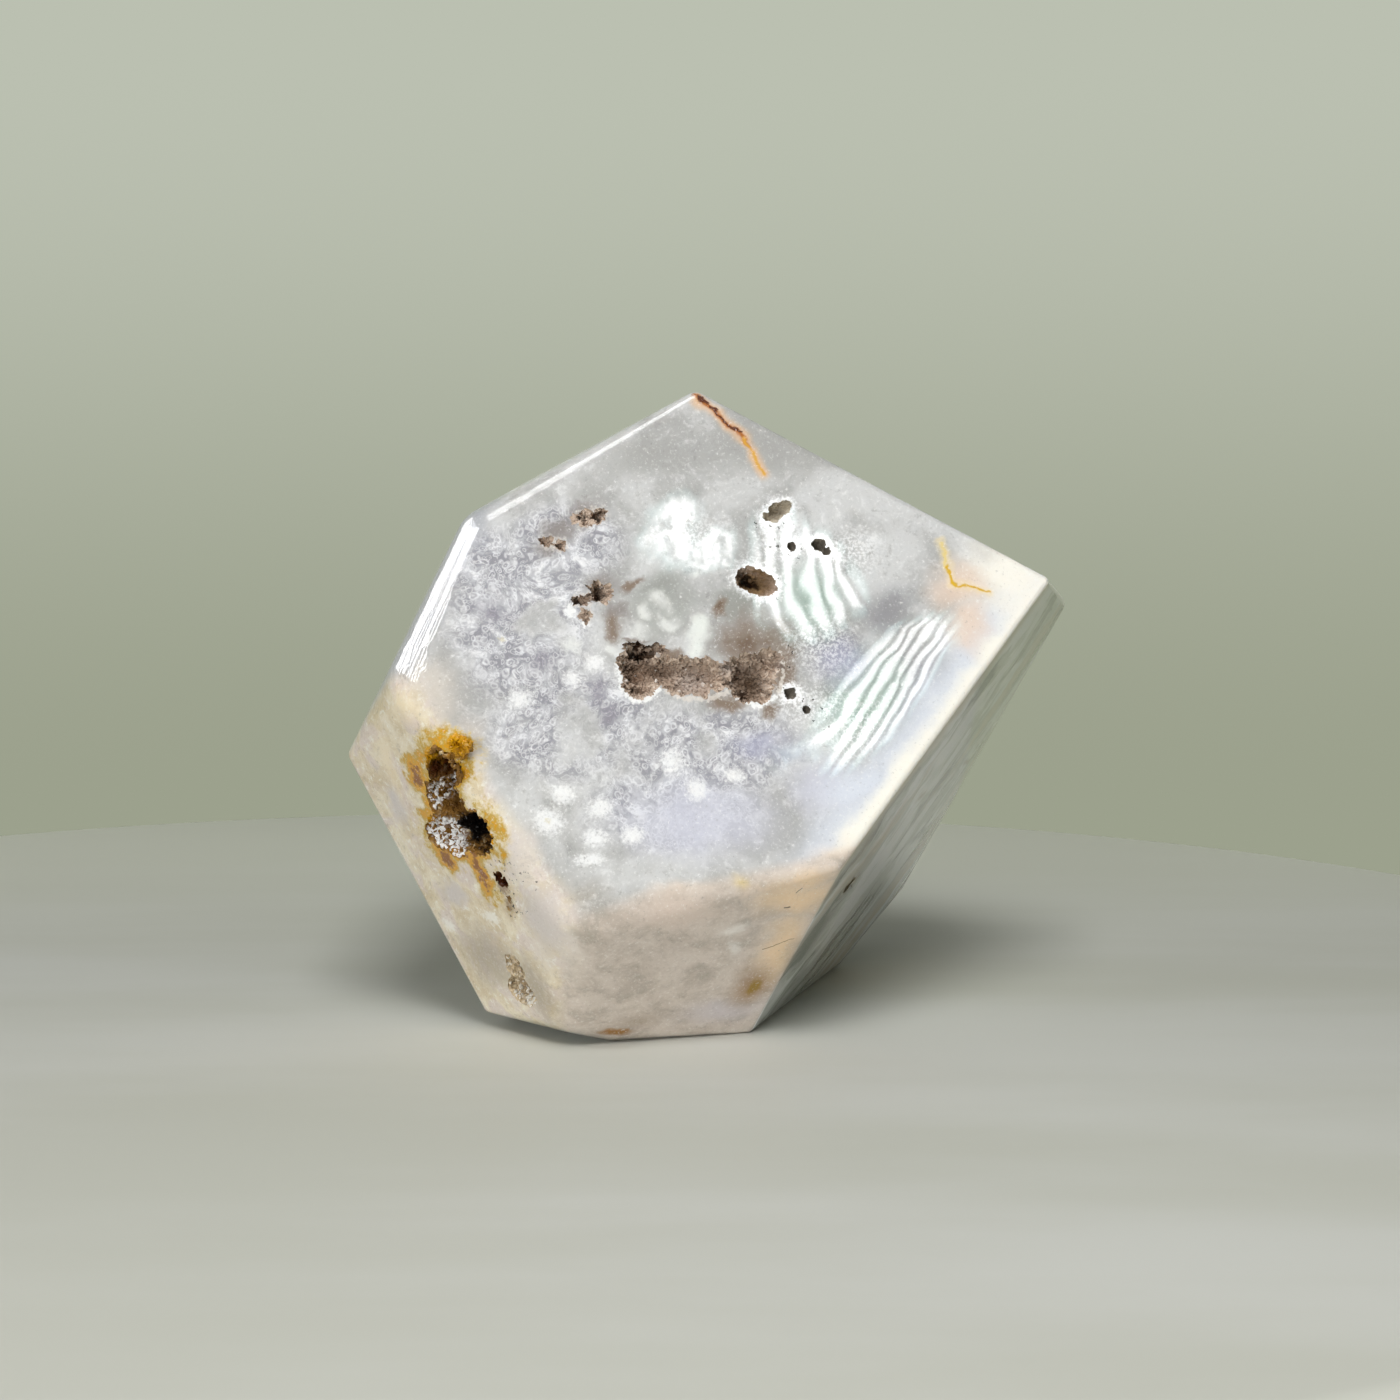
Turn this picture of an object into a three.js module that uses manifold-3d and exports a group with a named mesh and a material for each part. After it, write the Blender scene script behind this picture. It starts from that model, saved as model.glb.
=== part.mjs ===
// Druzy agate: a palm-sized, hand-polished free-form of chalcedony that stands on one ground facet.
// Hollows in its faces are lined with small quartz crystals. Millimetres, +Z up, the widest face looks along -Y.
import * as THREE from 'three';
import { ConvexGeometry } from 'three/addons/geometries/ConvexGeometry.js';
import { mergeVertices } from 'three/addons/utils/BufferGeometryUtils.js';
import Module from 'manifold-3d';

const wasm = await Module();
wasm.setup();

// The facets are planes round this point. It sets the middle of the stone's box over the origin, its foot at z = 0.
const CENTRE = new THREE.Vector3(-0.3, 0.57, 33);

// Bearing and tilt of each facet's outward normal, in degrees, its reach from the centre, and how far it domes.
// Bearing 0 looks along -Y and 90 along +X. A negative tilt looks down.
const FACETS = {
  window: { bearing: 7.5, tilt: 18.3, reach: 28.8, dome: 0.3 },
  lower_left: { bearing: -50, tilt: -22.5, reach: 40.2, dome: 0.2 },
  lower_front: { bearing: 19.5, tilt: -38, reach: 36, dome: 0.2 },
  right: { bearing: 73, tilt: -32, reach: 25.2, dome: 0.6 },
  top_right: { bearing: 90, tilt: 62, reach: 30.2, dome: 0.2 },
  top_left: { bearing: -86, tilt: 61.5, reach: 33, dome: 0.2 },
  left: { bearing: -85, tilt: 26.5, reach: 35.4, dome: 0.2 },
  left_under: { bearing: -108, tilt: -26, reach: 30.4, dome: 0.2 },
  foot: { bearing: -49, tilt: -74, reach: 38.4, dome: 0 },
  base: { bearing: 0, tilt: -90, reach: 33, dome: 0 },
  back: { bearing: 178, tilt: 8, reach: 32, dome: 0.3 },
  back_left: { bearing: -148, tilt: 4, reach: 33, dome: 0.3 },
  back_right: { bearing: 150, tilt: 19.5, reach: 28.4, dome: 0.3 },
  back_top: { bearing: 170, tilt: 47, reach: 33, dome: 0.3 },
  back_under: { bearing: 165, tilt: -63, reach: 39.1, dome: 0.2 },
};

// Polishing wears some corners rounder than the rest.
const CORNER_RADIUS = 1.5;
const WORN_CORNERS = [
  { facets: ['window', 'lower_left', 'lower_front'], radius: 6 },
  { facets: ['window', 'lower_left', 'left'], radius: 6 },
  { facets: ['window', 'top_left', 'left'], radius: 4.5 },
  { facets: ['window', 'top_left', 'top_right'], radius: 1.6 },
  { facets: ['lower_left', 'lower_front', 'foot'], radius: 5 },
  { facets: ['lower_front', 'foot', 'base'], radius: 4 },
  { facets: ['lower_left', 'left', 'left_under'], radius: 1.2 },
  { facets: ['lower_left', 'left_under', 'foot'], radius: 1 },
  { facets: ['window', 'right', 'top_right'], radius: 0.7 },
  { facets: ['window', 'right', 'lower_front'], radius: 0.9 },
  { facets: ['lower_front', 'right', 'base'], radius: 1 },
];
const LEAST_RADIUS = 0.3;
const CRISP_RADIUS = 2;
const CRISP_STEPS = 2;
const WORN_STEPS = 4;
const DOME_RINGS = [0.45, 0.8];

// A crust of quartz lines each hollow, a hair clear of the agate and just under the polished face.
const CRUST_GAP = 0.3;
const CRUST_SINK = 0.35;
const CRYSTAL_ROOT = 0.4;
const CRYSTAL_SPACING = 2;
const LEAST_CRYSTALS = 2;
const CRYSTAL_GIRTH = 0.62;

// A wide lobe is cut with a finer ball than the rest, and a tiny pit with a coarser one.
const WIDE_LOBE = 3.8;
const TINY_PIT = 0.7;

// Each hollow is a cluster of rounded lobes cut into a facet, with lumps of agate left standing in it. wall is its
// crust's thickness.
// at is the place on the facet, across and up. size is the half width, half height and depth. turn is in degrees.
const HOLLOWS = [
  {
    name: 'central_vug_druse', facet: 'window', colour: 0x8d7f76, wall: 0.8,
    lobes: [
      { at: [-11.9, -2.1], size: [2.2, 2.6, 4.6] },
      { at: [-12, -3.9], size: [1.7, 1.6, 3.2] },
      { at: [-11.6, 0], size: [2.3, 1.1, 6] },
      { at: [-9.4, -2.5], size: [2.2, 1.7, 3] },
      { at: [-6.5, -3.3], size: [3.7, 2.2, 2.8] },
      { at: [-0.9, -3], size: [3, 2.4, 4.2] },
      { at: [1, -1.6], size: [2.7, 1.4, 3] },
      { at: [-0.5, -4.8], size: [2, 1.6, 3.6] },
    ],
    lumps: [
      { at: [-10.9, 2.1], size: [1.8, 1.6, 2] },
      { at: [-5.9, 0.8], size: [1.9, 1.9, 2.4] },
      { at: [-6, -0.6], size: [1.1, 1.5, 2.4] },
      { at: [-0.3, 1.7], size: [3, 1.8, 2.6] },
      { at: [-3.2, -1.7], size: [0.9, 0.9, 4] },
    ],
  },
  {
    name: 'smoky_pocket_druse', facet: 'window', colour: 0x8a8078, wall: 0.45,
    lobes: [
      { at: [-15.8, 5.5], size: [1.6, 1.5, 3] },
      { at: [-17.8, 4.7], size: [1.7, 1.2, 2.4] },
    ],
    lumps: [],
  },
  {
    name: 'upper_pocket_druse', facet: 'window', colour: 0x8f8580, wall: 0.4,
    lobes: [
      { at: [-17.2, 13.7], size: [1.5, 1.1, 1.8] },
      { at: [-15.9, 14.3], size: [1.4, 1, 1.8] },
    ],
    lumps: [],
  },
  {
    name: 'eye_vug_druse', facet: 'window', colour: 0x75675c, wall: 0.5,
    lobes: [
      { at: [0.4, 6.9], size: [2.1, 1.3, 3], turn: -15 },
      { at: [1.3, 6.4], size: [1.4, 1.1, 2.4] },
    ],
    lumps: [],
  },
  {
    name: 'iron_vug_druse', facet: 'lower_left', colour: 0x7a6350, wall: 0.9,
    lobes: [
      { at: [9.8, 15.6], size: [2.2, 2.4, 2.4], sink: 0.8 },
      { at: [6.6, 13], size: [3.6, 2.8, 5] },
      { at: [3.6, 9], size: [4, 3.4, 3.8] },
      { at: [7.8, 6.4], size: [3, 2.8, 4.8] },
      { at: [4, 5.2], size: [2.8, 2.2, 3.2] },
    ],
    lumps: [
      { at: [9.4, 10.4], size: [1.6, 1.5, 3] },
    ],
  },
  {
    name: 'foot_pocket_druse', facet: 'lower_left', colour: 0xb5aba2, wall: 0.5,
    lobes: [
      { at: [6.6, -10], size: [1.5, 1.7, 1.8] },
      { at: [6.1, -12.9], size: [2.2, 1.9, 2.2] },
    ],
    lumps: [],
  },
];

// Bare pits with no crystals.
const PITS = [
  { facet: 'window', at: [3.2, 14.5], size: [1.7, 0.9, 1.8], turn: 35 },
  { facet: 'window', at: [7.5, 10.6], size: [1, 0.7, 1.6], turn: -25 },
  { facet: 'window', at: [4.4, 10.6], size: [0.5, 0.5, 0.9] },
  { facet: 'window', at: [3.5, -5.4], size: [0.6, 0.6, 1] },
  { facet: 'window', at: [5.1, -6.9], size: [0.45, 0.45, 0.8] },
  { facet: 'window', at: [-4.2, 4.3], size: [0.6, 0.5, 0.9] },
  { facet: 'window', at: [-20.5, 11], size: [1.3, 0.7, 1.3] },
  { facet: 'lower_left', at: [10.2, 0.9], size: [1.2, 1.5, 1.6] },
  { facet: 'lower_left', at: [10, -2.1], size: [0.9, 1.2, 1.1] },
  { facet: 'right', at: [-17.2, -3.5], size: [2, 1, 1.2], sink: 0.2 },
];

const AGATE_COLOUR = 0xcfccd2;

/** A facet's own axes: out of the stone, across and up, with the point of its plane nearest the centre. */
function facetFrame(name) {
  const { bearing, tilt, reach } = FACETS[name];
  const turn = THREE.MathUtils.degToRad(bearing);
  const rise = THREE.MathUtils.degToRad(tilt);
  const out = new THREE.Vector3(Math.sin(turn) * Math.cos(rise), -Math.cos(turn) * Math.cos(rise), Math.sin(rise));
  const across = new THREE.Vector3(Math.cos(turn), Math.sin(turn), 0);
  const up = out.clone().cross(across);
  return { out, across, up, origin: CENTRE.clone().addScaledVector(out, reach) };
}

const FRAMES = Object.fromEntries(Object.keys(FACETS).map((name) => [name, facetFrame(name)]));

/** Where three facets meet once each is moved in by a depth, measured from the centre, or null if they never do. */
function meetingPoint(names, depth) {
  const [p, q, r] = names.map((name) => FRAMES[name].out);
  const planes = new THREE.Matrix3().set(p.x, p.y, p.z, q.x, q.y, q.z, r.x, r.y, r.z);
  if (Math.abs(planes.determinant()) < 1e-3) {
    return null;
  }
  const reaches = names.map((name) => FACETS[name].reach - depth);
  return new THREE.Vector3(...reaches).applyMatrix3(planes.invert());
}

/** Every corner of the stone: the three facets that meet there and the radius it is worn to. */
function findCorners() {
  const names = Object.keys(FACETS);
  const corners = [];
  names.forEach((first, i) => {
    names.slice(i + 1).forEach((second, j) => {
      names.slice(i + j + 2).forEach((third) => {
        const facets = [first, second, third];
        const point = meetingPoint(facets, 0);
        if (point && names.every((name) => point.dot(FRAMES[name].out) <= FACETS[name].reach + 1e-6)) {
          const worn = WORN_CORNERS.find((entry) => entry.facets.every((name) => facets.includes(name)));
          corners.push({ facets, radius: worn ? worn.radius : CORNER_RADIUS });
        }
      });
    });
  });
  return corners;
}

const CORNERS = findCorners();

/** The ball that rounds a corner, for a stone whose facets are all moved in by an inset. */
function cornerBall(corner, inset) {
  const radius = Math.max(corner.radius - inset, LEAST_RADIUS);
  return { radius, centre: meetingPoint(corner.facets, inset + radius).add(CENTRE) };
}

/** Points on the patch of a corner's ball that lies between its three facets. */
function ballPoints(corner, inset) {
  const { radius, centre } = cornerBall(corner, inset);
  const [p, q, r] = corner.facets.map((name) => FRAMES[name].out);
  const steps = radius > CRISP_RADIUS ? WORN_STEPS : CRISP_STEPS;
  const points = [];
  for (let i = 0; i <= steps; i += 1) {
    for (let j = 0; j <= steps - i; j += 1) {
      const out = p.clone().multiplyScalar(i).addScaledVector(q, j).addScaledVector(r, steps - i - j);
      points.push(centre.clone().addScaledVector(out.normalize(), radius));
    }
  }
  return points;
}

/** Points on a facet's gentle dome. */
function domePoints(name, inset) {
  const { dome } = FACETS[name];
  const { out } = FRAMES[name];
  if (dome === 0) {
    return [];
  }
  const rim = CORNERS.filter((corner) => corner.facets.includes(name)).map((corner) => {
    const { radius, centre } = cornerBall(corner, inset);
    return centre.addScaledVector(out, radius);
  });
  const middle = rim.reduce((sum, point) => sum.add(point), new THREE.Vector3()).divideScalar(rim.length);
  const rings = DOME_RINGS.flatMap((share) => rim.map((point) => (
    middle.clone().lerp(point, share).addScaledVector(out, dome * (1 - share ** 2))
  )));
  return [...rings, middle.addScaledVector(out, dome)];
}

/** The polished stone before its hollows, with every face moved in by an inset. */
function polishedBlank(inset) {
  const rounded = CORNERS.flatMap((corner) => ballPoints(corner, inset));
  const domed = Object.keys(FACETS).flatMap((name) => domePoints(name, inset));
  return toSolid(new ConvexGeometry([...rounded, ...domed]));
}

/** A closed geometry as a solid that can be joined and cut. */
function toSolid(geometry) {
  geometry.deleteAttribute('normal');
  geometry.deleteAttribute('uv');
  const merged = mergeVertices(geometry, 1e-4);
  return new wasm.Manifold(new wasm.Mesh({
    numProp: 3,
    vertProperties: new Float32Array(merged.attributes.position.array),
    triVerts: new Uint32Array(merged.index.array),
  }));
}

/** The largest body of a solid, as a geometry. */
function toGeometry(solid) {
  const bodies = solid.decompose().sort((a, b) => b.volume() - a.volume());
  const { vertProperties, triVerts, numProp } = bodies[0].getMesh();
  const positions = [];
  for (let i = 0; i < vertProperties.length; i += numProp) {
    positions.push(...vertProperties.slice(i, i + 3));
  }
  const geometry = new THREE.BufferGeometry();
  geometry.setAttribute('position', new THREE.Float32BufferAttribute(positions, 3));
  geometry.setIndex([...triVerts]);
  geometry.computeVertexNormals();
  return geometry;
}

/** A smooth unevenness of about -1 to 1 over a lobe, the same each time for the same place and lobe. */
function unevenness(direction, phase) {
  const { x, y, z } = direction;
  return (Math.sin(3.1 * x + 2 * phase) + Math.sin(3.7 * y + 3 * phase) + Math.sin(2.9 * z + x + phase)) / 3;
}

/** The frame that a lobe stands in: its middle on the facet and its axes, as one matrix. */
function lobeMatrix(facet, { at, turn = 0, sink = 0 }) {
  const { out, across, up, origin } = FRAMES[facet];
  const [a, b] = at;
  const middle = origin.clone().addScaledVector(across, a).addScaledVector(up, b).addScaledVector(out, -sink);
  const spin = new THREE.Matrix4().makeRotationZ(THREE.MathUtils.degToRad(turn));
  return new THREE.Matrix4().makeBasis(across, up, out).setPosition(middle).multiply(spin);
}

/** How finely the ball for a lobe is split. */
function ballDetail(halfWidth) {
  if (halfWidth > WIDE_LOBE) {
    return 2;
  }
  return halfWidth > TINY_PIT ? 1 : 0;
}

/** One uneven, rounded lobe as a solid, with its walls moved out by a growth. Null if nothing is left of it. */
function lobeSolid(facet, lobe, growth) {
  const radii = lobe.size.map((half) => half + growth);
  if (Math.min(...radii) < LEAST_RADIUS) {
    return null;
  }
  const geometry = new THREE.IcosahedronGeometry(1, ballDetail(Math.max(...lobe.size.slice(0, 2))));
  const { position } = geometry.attributes;
  const phase = lobe.at[0] + 2 * lobe.at[1];
  const point = new THREE.Vector3();
  for (let i = 0; i < position.count; i += 1) {
    point.fromBufferAttribute(position, i);
    const swell = 1 + 0.1 * unevenness(point, phase);
    point.multiply(new THREE.Vector3(...radii)).multiplyScalar(swell);
    position.setXYZ(i, point.x, point.y, point.z);
  }
  geometry.applyMatrix4(lobeMatrix(facet, lobe));
  return toSolid(geometry);
}

/** All that is cut away for a hollow, with its walls moved in by an inset. */
function hollowSolid(hollow, inset) {
  const lobes = hollow.lobes.map((lobe) => lobeSolid(hollow.facet, lobe, -inset)).filter(Boolean);
  const lumps = hollow.lumps.map((lump) => lobeSolid(hollow.facet, lump, inset));
  return lumps.reduce((left, lump) => left.subtract(lump), lobes.reduce((joined, lobe) => joined.add(lobe)));
}

/** The six-sided quartz points on the floor and walls of one lobe of a hollow. */
function lobeCrystals({ facet, wall: thickness }, lobe) {
  const radii = lobe.size.map((half) => Math.max(half - CRUST_GAP - thickness, LEAST_RADIUS));
  const [halfWidth, halfHeight, depth] = radii;
  const wallArea = Math.PI * (halfWidth * halfHeight + depth * (halfWidth + halfHeight));
  const count = Math.max(LEAST_CRYSTALS, Math.round(wallArea / CRYSTAL_SPACING ** 2 / 2));
  const goldenTurn = Math.PI * (3 - Math.sqrt(5));
  const matrix = lobeMatrix(facet, lobe);
  return Array.from({ length: count }, (_, i) => {
    const fall = -(i + 0.7) / count;
    const flat = Math.sqrt(1 - fall ** 2);
    const toWall = new THREE.Vector3(flat * Math.cos(i * goldenTurn), flat * Math.sin(i * goldenTurn), fall);
    const lean = 0.25 * Math.sin(5 * i + lobe.at[0]);
    const inward = toWall.clone().negate().add(new THREE.Vector3(lean, -lean, 0.6)).normalize();
    const girth = CRYSTAL_GIRTH * (1 + 0.25 * Math.sin(3 * i + lobe.at[1]));
    const height = 2.2 * girth + CRYSTAL_ROOT;
    const crystal = new THREE.ConeGeometry(girth, height, 6);
    crystal.translate(0, height / 2 - CRYSTAL_ROOT, 0);
    crystal.rotateY(i);
    crystal.applyQuaternion(new THREE.Quaternion().setFromUnitVectors(new THREE.Vector3(0, 1, 0), inward));
    const foot = toWall.multiply(new THREE.Vector3(...radii));
    crystal.translate(foot.x, foot.y, foot.z);
    crystal.applyMatrix4(matrix);
    return toSolid(crystal);
  });
}

/** The crust of quartz that lines a hollow. */
function crustSolid(hollow, innerBlank) {
  const outer = hollowSolid(hollow, CRUST_GAP).intersect(innerBlank);
  const lining = outer.subtract(hollowSolid(hollow, CRUST_GAP + hollow.wall));
  const crystals = hollow.lobes.flatMap((lobe) => lobeCrystals(hollow, lobe));
  return crystals.reduce((joined, crystal) => joined.add(crystal), lining).intersect(outer);
}

/** One named piece of the model. */
function piece(name, solid, colour, roughness) {
  const material = new THREE.MeshStandardMaterial({ color: colour, roughness, metalness: 0, flatShading: true });
  const mesh = new THREE.Mesh(toGeometry(solid), material);
  mesh.name = name;
  return mesh;
}

const group = new THREE.Group();

const pitSolids = PITS.map((pit) => lobeSolid(pit.facet, pit, 0));
const cuts = [...HOLLOWS.map((hollow) => hollowSolid(hollow, 0)), ...pitSolids];
const agate = cuts.reduce((stone, cut) => stone.subtract(cut), polishedBlank(0));
group.add(piece('agate_body', agate, AGATE_COLOUR, 0.15));

const innerBlank = polishedBlank(CRUST_SINK);
HOLLOWS.forEach((hollow) => {
  group.add(piece(hollow.name, crustSolid(hollow, innerBlank), hollow.colour, 0.4));
});

export default group;
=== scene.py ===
"""Druzy agate free-form: a palm-sized, hand-polished chalcedony whose hollows are lined with quartz."""
import logging
import math
from dataclasses import dataclass, field
from enum import Enum
from typing import Any, Sequence

import bpy
import numpy as np
from mathutils import Matrix, Vector, noise


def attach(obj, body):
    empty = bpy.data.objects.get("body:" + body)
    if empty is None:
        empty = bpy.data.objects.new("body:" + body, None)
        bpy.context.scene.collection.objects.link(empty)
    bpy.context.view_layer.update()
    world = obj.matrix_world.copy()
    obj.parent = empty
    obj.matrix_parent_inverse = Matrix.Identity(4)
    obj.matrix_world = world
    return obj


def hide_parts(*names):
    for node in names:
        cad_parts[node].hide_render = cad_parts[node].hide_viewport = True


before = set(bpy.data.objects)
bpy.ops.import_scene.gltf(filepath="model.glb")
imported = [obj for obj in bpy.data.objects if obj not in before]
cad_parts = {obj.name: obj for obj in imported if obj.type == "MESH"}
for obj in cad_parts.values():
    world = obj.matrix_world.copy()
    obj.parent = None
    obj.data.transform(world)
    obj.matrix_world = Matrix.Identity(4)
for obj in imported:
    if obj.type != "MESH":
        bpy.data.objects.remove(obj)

LOG = logging.getLogger("druzy_agate")
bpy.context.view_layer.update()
MM = 0.001
SEED = 7

Socket = bpy.types.NodeSocket
Source = bpy.types.Node | bpy.types.NodeSocket
Piece = bpy.types.Object
Pair = tuple[float, float]
Triple = tuple[float, float, float]

# The facets are planes round this point, in millimetres.
CENTRE = Vector((-0.3, 0.57, 33.0))
# Three planes whose normals span less than this never meet, and points nearer than this are the same.
LEAST_SPAN = 1e-3
TOUCHING = 1e-4


def linear(colour: str) -> tuple[float, float, float, float]:
    """Turns an sRGB hex colour into linear light.

    Args:
        colour: Six hex digits, red first.

    Returns:
        Red, green, blue and an alpha of one.
    """
    shares = [int(colour[i:i + 2], 16) / 255 for i in (0, 2, 4)]
    red, green, blue = [c / 12.92 if c <= 0.04045 else ((c + 0.055) / 1.055) ** 2.4 for c in shares]
    return (red, green, blue, 1.0)


class Facet(Enum):
    """The polished facets.

    Each has its outward normal's bearing and tilt in degrees, its reach from the centre and its dome in mm.
    """

    WINDOW = (7.5, 18.3, 28.8, 0.3)
    LOWER_LEFT = (-50, -22.5, 40.2, 0.2)
    LOWER_FRONT = (19.5, -38, 36, 0.2)
    RIGHT = (73, -32, 25.2, 0.6)
    TOP_RIGHT = (90, 62, 30.2, 0.2)
    TOP_LEFT = (-86, 61.5, 33, 0.2)
    LEFT = (-85, 26.5, 35.4, 0.2)
    LEFT_UNDER = (-108, -26, 30.4, 0.2)
    FOOT = (-49, -74, 38.4, 0)
    BASE = (0, -90, 33, 0)
    BACK = (178, 8, 32, 0.3)
    BACK_LEFT = (-148, 4, 33, 0.3)
    BACK_RIGHT = (150, 19.5, 28.4, 0.3)
    BACK_TOP = (170, 47, 33, 0.3)
    BACK_UNDER = (165, -63, 39.1, 0.2)

    @property
    def reach(self) -> float:
        """The distance from the stone's centre to the facet's plane."""
        return self.value[2]

    @property
    def dome(self) -> float:
        """How far the facet's middle stands proud of its plane."""
        return self.value[3]

    @property
    def out(self) -> Vector:
        """The outward normal. Bearing 0 looks along -Y and 90 along +X, and a negative tilt looks down."""
        bearing, tilt = (math.radians(angle) for angle in self.value[:2])
        return Vector((math.sin(bearing) * math.cos(tilt), -math.cos(bearing) * math.cos(tilt),
                       math.sin(tilt)))

    @property
    def matrix(self) -> Matrix:
        """The facet's own frame in millimetres: across, up and out, from the foot of the normal."""
        bearing = math.radians(self.value[0])
        across = Vector((math.cos(bearing), math.sin(bearing), 0.0))
        axes = Matrix((across, self.out.cross(across), self.out)).transposed().to_4x4()
        return Matrix.Translation(CENTRE + self.out * self.reach) @ axes


class Painter:
    """Draws in a node tree. The finishes, the lights and the wall share it."""

    def open(self, owner: bpy.types.Material | bpy.types.Light | bpy.types.World) -> None:
        """Empties the owner's node tree and draws there from now on."""
        owner.use_nodes = True
        self.tree = owner.node_tree
        self.tree.nodes.clear()

    def add(self, kind: str, inputs: dict[int | str, Any] | None = None, **settings: Any) -> bpy.types.Node:
        """Adds one node.

        Args:
            kind: The node's type, without the words that every type begins with.
            inputs: For each socket, by name or number, its value, or the output or node that feeds it.
            settings: The node's own settings.

        Returns:
            The new node.
        """
        node = self.tree.nodes.new("ShaderNode" + kind)
        for name, value in settings.items():
            setattr(node, name, value)
        for socket, value in (inputs or {}).items():
            if isinstance(value, bpy.types.Node):
                value = value.outputs[0]
            if isinstance(value, Socket):
                self.tree.links.new(value, node.inputs[socket])
            else:
                node.inputs[socket].default_value = value
        return node

    def on_facet(self, place: Socket, facet: Facet) -> Socket:
        """Gives a place in a facet's own frame. Each place and facet share one node.

        Args:
            place: The place, in millimetres.
            facet: The facet.

        Returns:
            Across, up and out from the facet.
        """
        name = f"{place.node.name} on {facet.name}"
        if name not in self.tree.nodes:
            self.add("Mapping", {
                "Vector": place, "Location": facet.matrix.to_translation(),
                "Rotation": facet.matrix.to_euler("XYZ"),
            }, vector_type="TEXTURE", name=name)
        return self.tree.nodes[name].outputs[0]

    def bend(self, place: Socket, scale: float, reach: float, detail: float = 4.0) -> Socket:
        """Shifts a place by smooth noise, so that what is drawn there has natural, uneven edges.

        Args:
            place: The place in millimetres.
            scale: Waves of the noise for each millimetre.
            reach: How far it shifts, in millimetres.
            detail: How many finer layers the noise has.

        Returns:
            The shifted place.
        """
        blur = self.add("TexNoise", {"Vector": place, "Scale": scale, "Detail": detail})
        centred = self.add("VectorMath", {0: blur.outputs["Color"], 1: (0.5, 0.5, 0.5)}, operation="SUBTRACT")
        return self.add("VectorMath", {0: centred, 1: (reach, reach, reach), 2: place},
                        operation="MULTIPLY_ADD").outputs[0]

    def facing(self, facet: Facet, away: float = 26.0, full: float = 12.0) -> Socket:
        """Says how nearly the surface faces the same way as a facet.

        Args:
            facet: The facet.
            away: The angle in degrees from which the share is nought.
            full: The angle within which it is one.

        Returns:
            The share.
        """
        normal = self.add("NewGeometry").outputs["Normal"]
        along = self.add("VectorMath", {0: normal, 1: facet.out}, operation="DOT_PRODUCT")
        return self.add("MapRange", {
            "Value": along.outputs["Value"], "From Min": math.cos(math.radians(away)),
            "From Max": math.cos(math.radians(full)),
        }, interpolation_type="SMOOTHSTEP").outputs[0]

    def blend(self, under: Source | str, over: Source | str, share: Source, low: float = 0.0,
              high: float = 1.0, most: float = 1.0) -> Socket:
        """Lays one colour over another where a pattern is strong.

        Args:
            under: The colour below, as hex digits or an output.
            over: The colour on top, as hex digits or an output.
            share: The pattern.
            low: The pattern's value at which the upper colour begins.
            high: The value at which it is at its fullest.
            most: How much of the upper colour shows there.

        Returns:
            The mixed colour.
        """
        cover = self.add("MapRange", {
            "Value": share, "From Min": low, "From Max": high, "To Min": 0.0, "To Max": most,
        }, interpolation_type="SMOOTHSTEP")
        colours = {key: linear(value) if isinstance(value, str) else value
                   for key, value in ((6, under), (7, over))}
        return self.add("Mix", {0: cover, **colours}, data_type="RGBA").outputs[2]


@dataclass(frozen=True)
class Mottle:
    """Noise of one scale in waves for each millimetre, with the tints that show where it is strong or weak.

    Each tint has its colour, the noise at which it begins and is fullest, and how much of it shows there.
    Mottles of one scale are told apart by their sort.
    """

    scale: float
    detail: float
    roughness: float
    tints: tuple[tuple[str, float, float, float], ...]
    sort: float | None = None

    def lay(self, paint: Painter, place: Socket, colour: Socket | str) -> Socket:
        """Lays the tints over a colour.

        Args:
            paint: What draws it.
            place: The place in millimetres.
            colour: The colour below, as hex digits or an output.

        Returns:
            The colour.
        """
        sort = {} if self.sort is None else {"W": self.sort}
        pattern = paint.add("TexNoise", {
            "Vector": place, "Scale": self.scale, "Detail": self.detail, "Roughness": self.roughness, **sort,
        }, noise_dimensions="4D" if sort else "3D")
        for tint, low, high, most in self.tints:
            colour = paint.blend(colour, tint, pattern, low, high, most)
        return colour


@dataclass(frozen=True)
class Lobe:
    """One rounded lobe of a hollow, or a lump left standing in it, at a place on a facet."""

    at: Pair
    size: Triple
    turn: float = 0.0
    sink: float = 0.0

    def matrix(self, facet: Facet) -> Matrix:
        """Gives the lobe's frame on its facet, in millimetres."""
        place = Matrix.Translation((*self.at, -self.sink))
        return facet.matrix @ place @ Matrix.Rotation(math.radians(self.turn), 4, "Z")


@dataclass(frozen=True)
class Hollow:
    """A hollow in a facet: lobes cut away and lumps of agate left standing."""

    facet: Facet
    lobes: tuple[Lobe, ...]
    lumps: tuple[Lobe, ...] = ()
    roughness: float = 0.32


def lobes(*places: tuple[float, ...]) -> tuple[Lobe, ...]:
    """Gives a lobe for each place.

    Args:
        places: Across, up, half width, half height and depth, then the turn and sink of one that has them.

    Returns:
        The lobes.
    """
    return tuple(Lobe((across, up), (width, height, depth), *rest)
                 for across, up, width, height, depth, *rest in places)


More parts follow.
